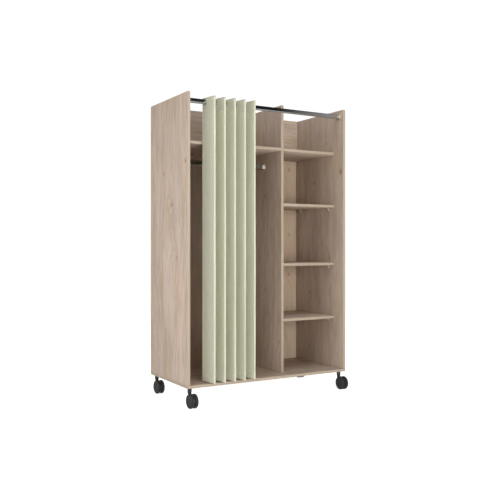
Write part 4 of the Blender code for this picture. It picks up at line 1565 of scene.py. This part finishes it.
class WARDROBE_OT_eyelets(bpy.types.Operator):
    """Make the ten eyelets"""

    bl_idname = "wardrobe.eyelets"
    bl_label = "Eyelets"

    def execute(self, context):
        make_eyelets()
        return {"FINISHED"}


class WARDROBE_OT_curtain(bpy.types.Operator):
    """Make the curtain's cloth and stitching"""

    bl_idname = "wardrobe.curtain"
    bl_label = "Curtain"

    def execute(self, context):
        make_curtain()
        return {"FINISHED"}


class WARDROBE_OT_castors(bpy.types.Operator):
    """Make the four twin-wheel castors"""

    bl_idname = "wardrobe.castors"
    bl_label = "Castors"

    def execute(self, context):
        make_castors()
        return {"FINISHED"}


class WARDROBE_OT_fasteners(bpy.types.Operator):
    """Make the screws, bolts, cam caps and nails"""

    bl_idname = "wardrobe.fasteners"
    bl_label = "Fasteners"

    def execute(self, context):
        make_fasteners()
        return {"FINISHED"}


class WARDROBE_OT_stage(bpy.types.Operator):
    """Make the floor, the light and the camera"""

    bl_idname = "wardrobe.stage"
    bl_label = "Stage"

    def execute(self, context):
        make_stage()
        return {"FINISHED"}


OPERATORS = (
    WARDROBE_OT_boards,
    WARDROBE_OT_back_sheets,
    WARDROBE_OT_shelf_supports,
    WARDROBE_OT_curtain_rod,
    WARDROBE_OT_hanging_rail,
    WARDROBE_OT_eyelets,
    WARDROBE_OT_curtain,
    WARDROBE_OT_castors,
    WARDROBE_OT_fasteners,
    WARDROBE_OT_stage,
)


class WARDROBE_PT_panel(bpy.types.Panel):
    """The wardrobe's operators, sizes and colours"""

    bl_idname = "WARDROBE_PT_panel"
    bl_label = "Curtain Wardrobe"
    bl_space_type = "VIEW_3D"
    bl_region_type = "UI"
    bl_category = "Wardrobe"

    def draw(self, context):
        for operator in OPERATORS:
            self.layout.operator(operator.bl_idname)
        for group in (context.scene.wardrobe_sizes, context.scene.wardrobe_colours):
            box = self.layout.box()
            for name in group.bl_rna.properties.keys():
                if name not in ("rna_type", "name"):
                    box.prop(group, name)


CLASSES = (WardrobeSizes, WardrobeColours, *OPERATORS, WARDROBE_PT_panel)


def register():
    for one in CLASSES:
        bpy.utils.register_class(one)
    bpy.types.Scene.wardrobe_sizes = bpy.props.PointerProperty(type=WardrobeSizes)
    bpy.types.Scene.wardrobe_colours = bpy.props.PointerProperty(type=WardrobeColours)


def unregister():
    del bpy.types.Scene.wardrobe_colours
    del bpy.types.Scene.wardrobe_sizes
    for one in reversed(CLASSES):
        bpy.utils.unregister_class(one)


def main():
    register()
    bpy.ops.wardrobe.boards()
    bpy.ops.wardrobe.back_sheets()
    bpy.ops.wardrobe.shelf_supports()
    bpy.ops.wardrobe.curtain_rod()
    bpy.ops.wardrobe.hanging_rail()
    bpy.ops.wardrobe.eyelets()
    bpy.ops.wardrobe.curtain()
    bpy.ops.wardrobe.castors()
    bpy.ops.wardrobe.fasteners()
    bpy.ops.wardrobe.stage()


if __name__ == "__main__":
    main()
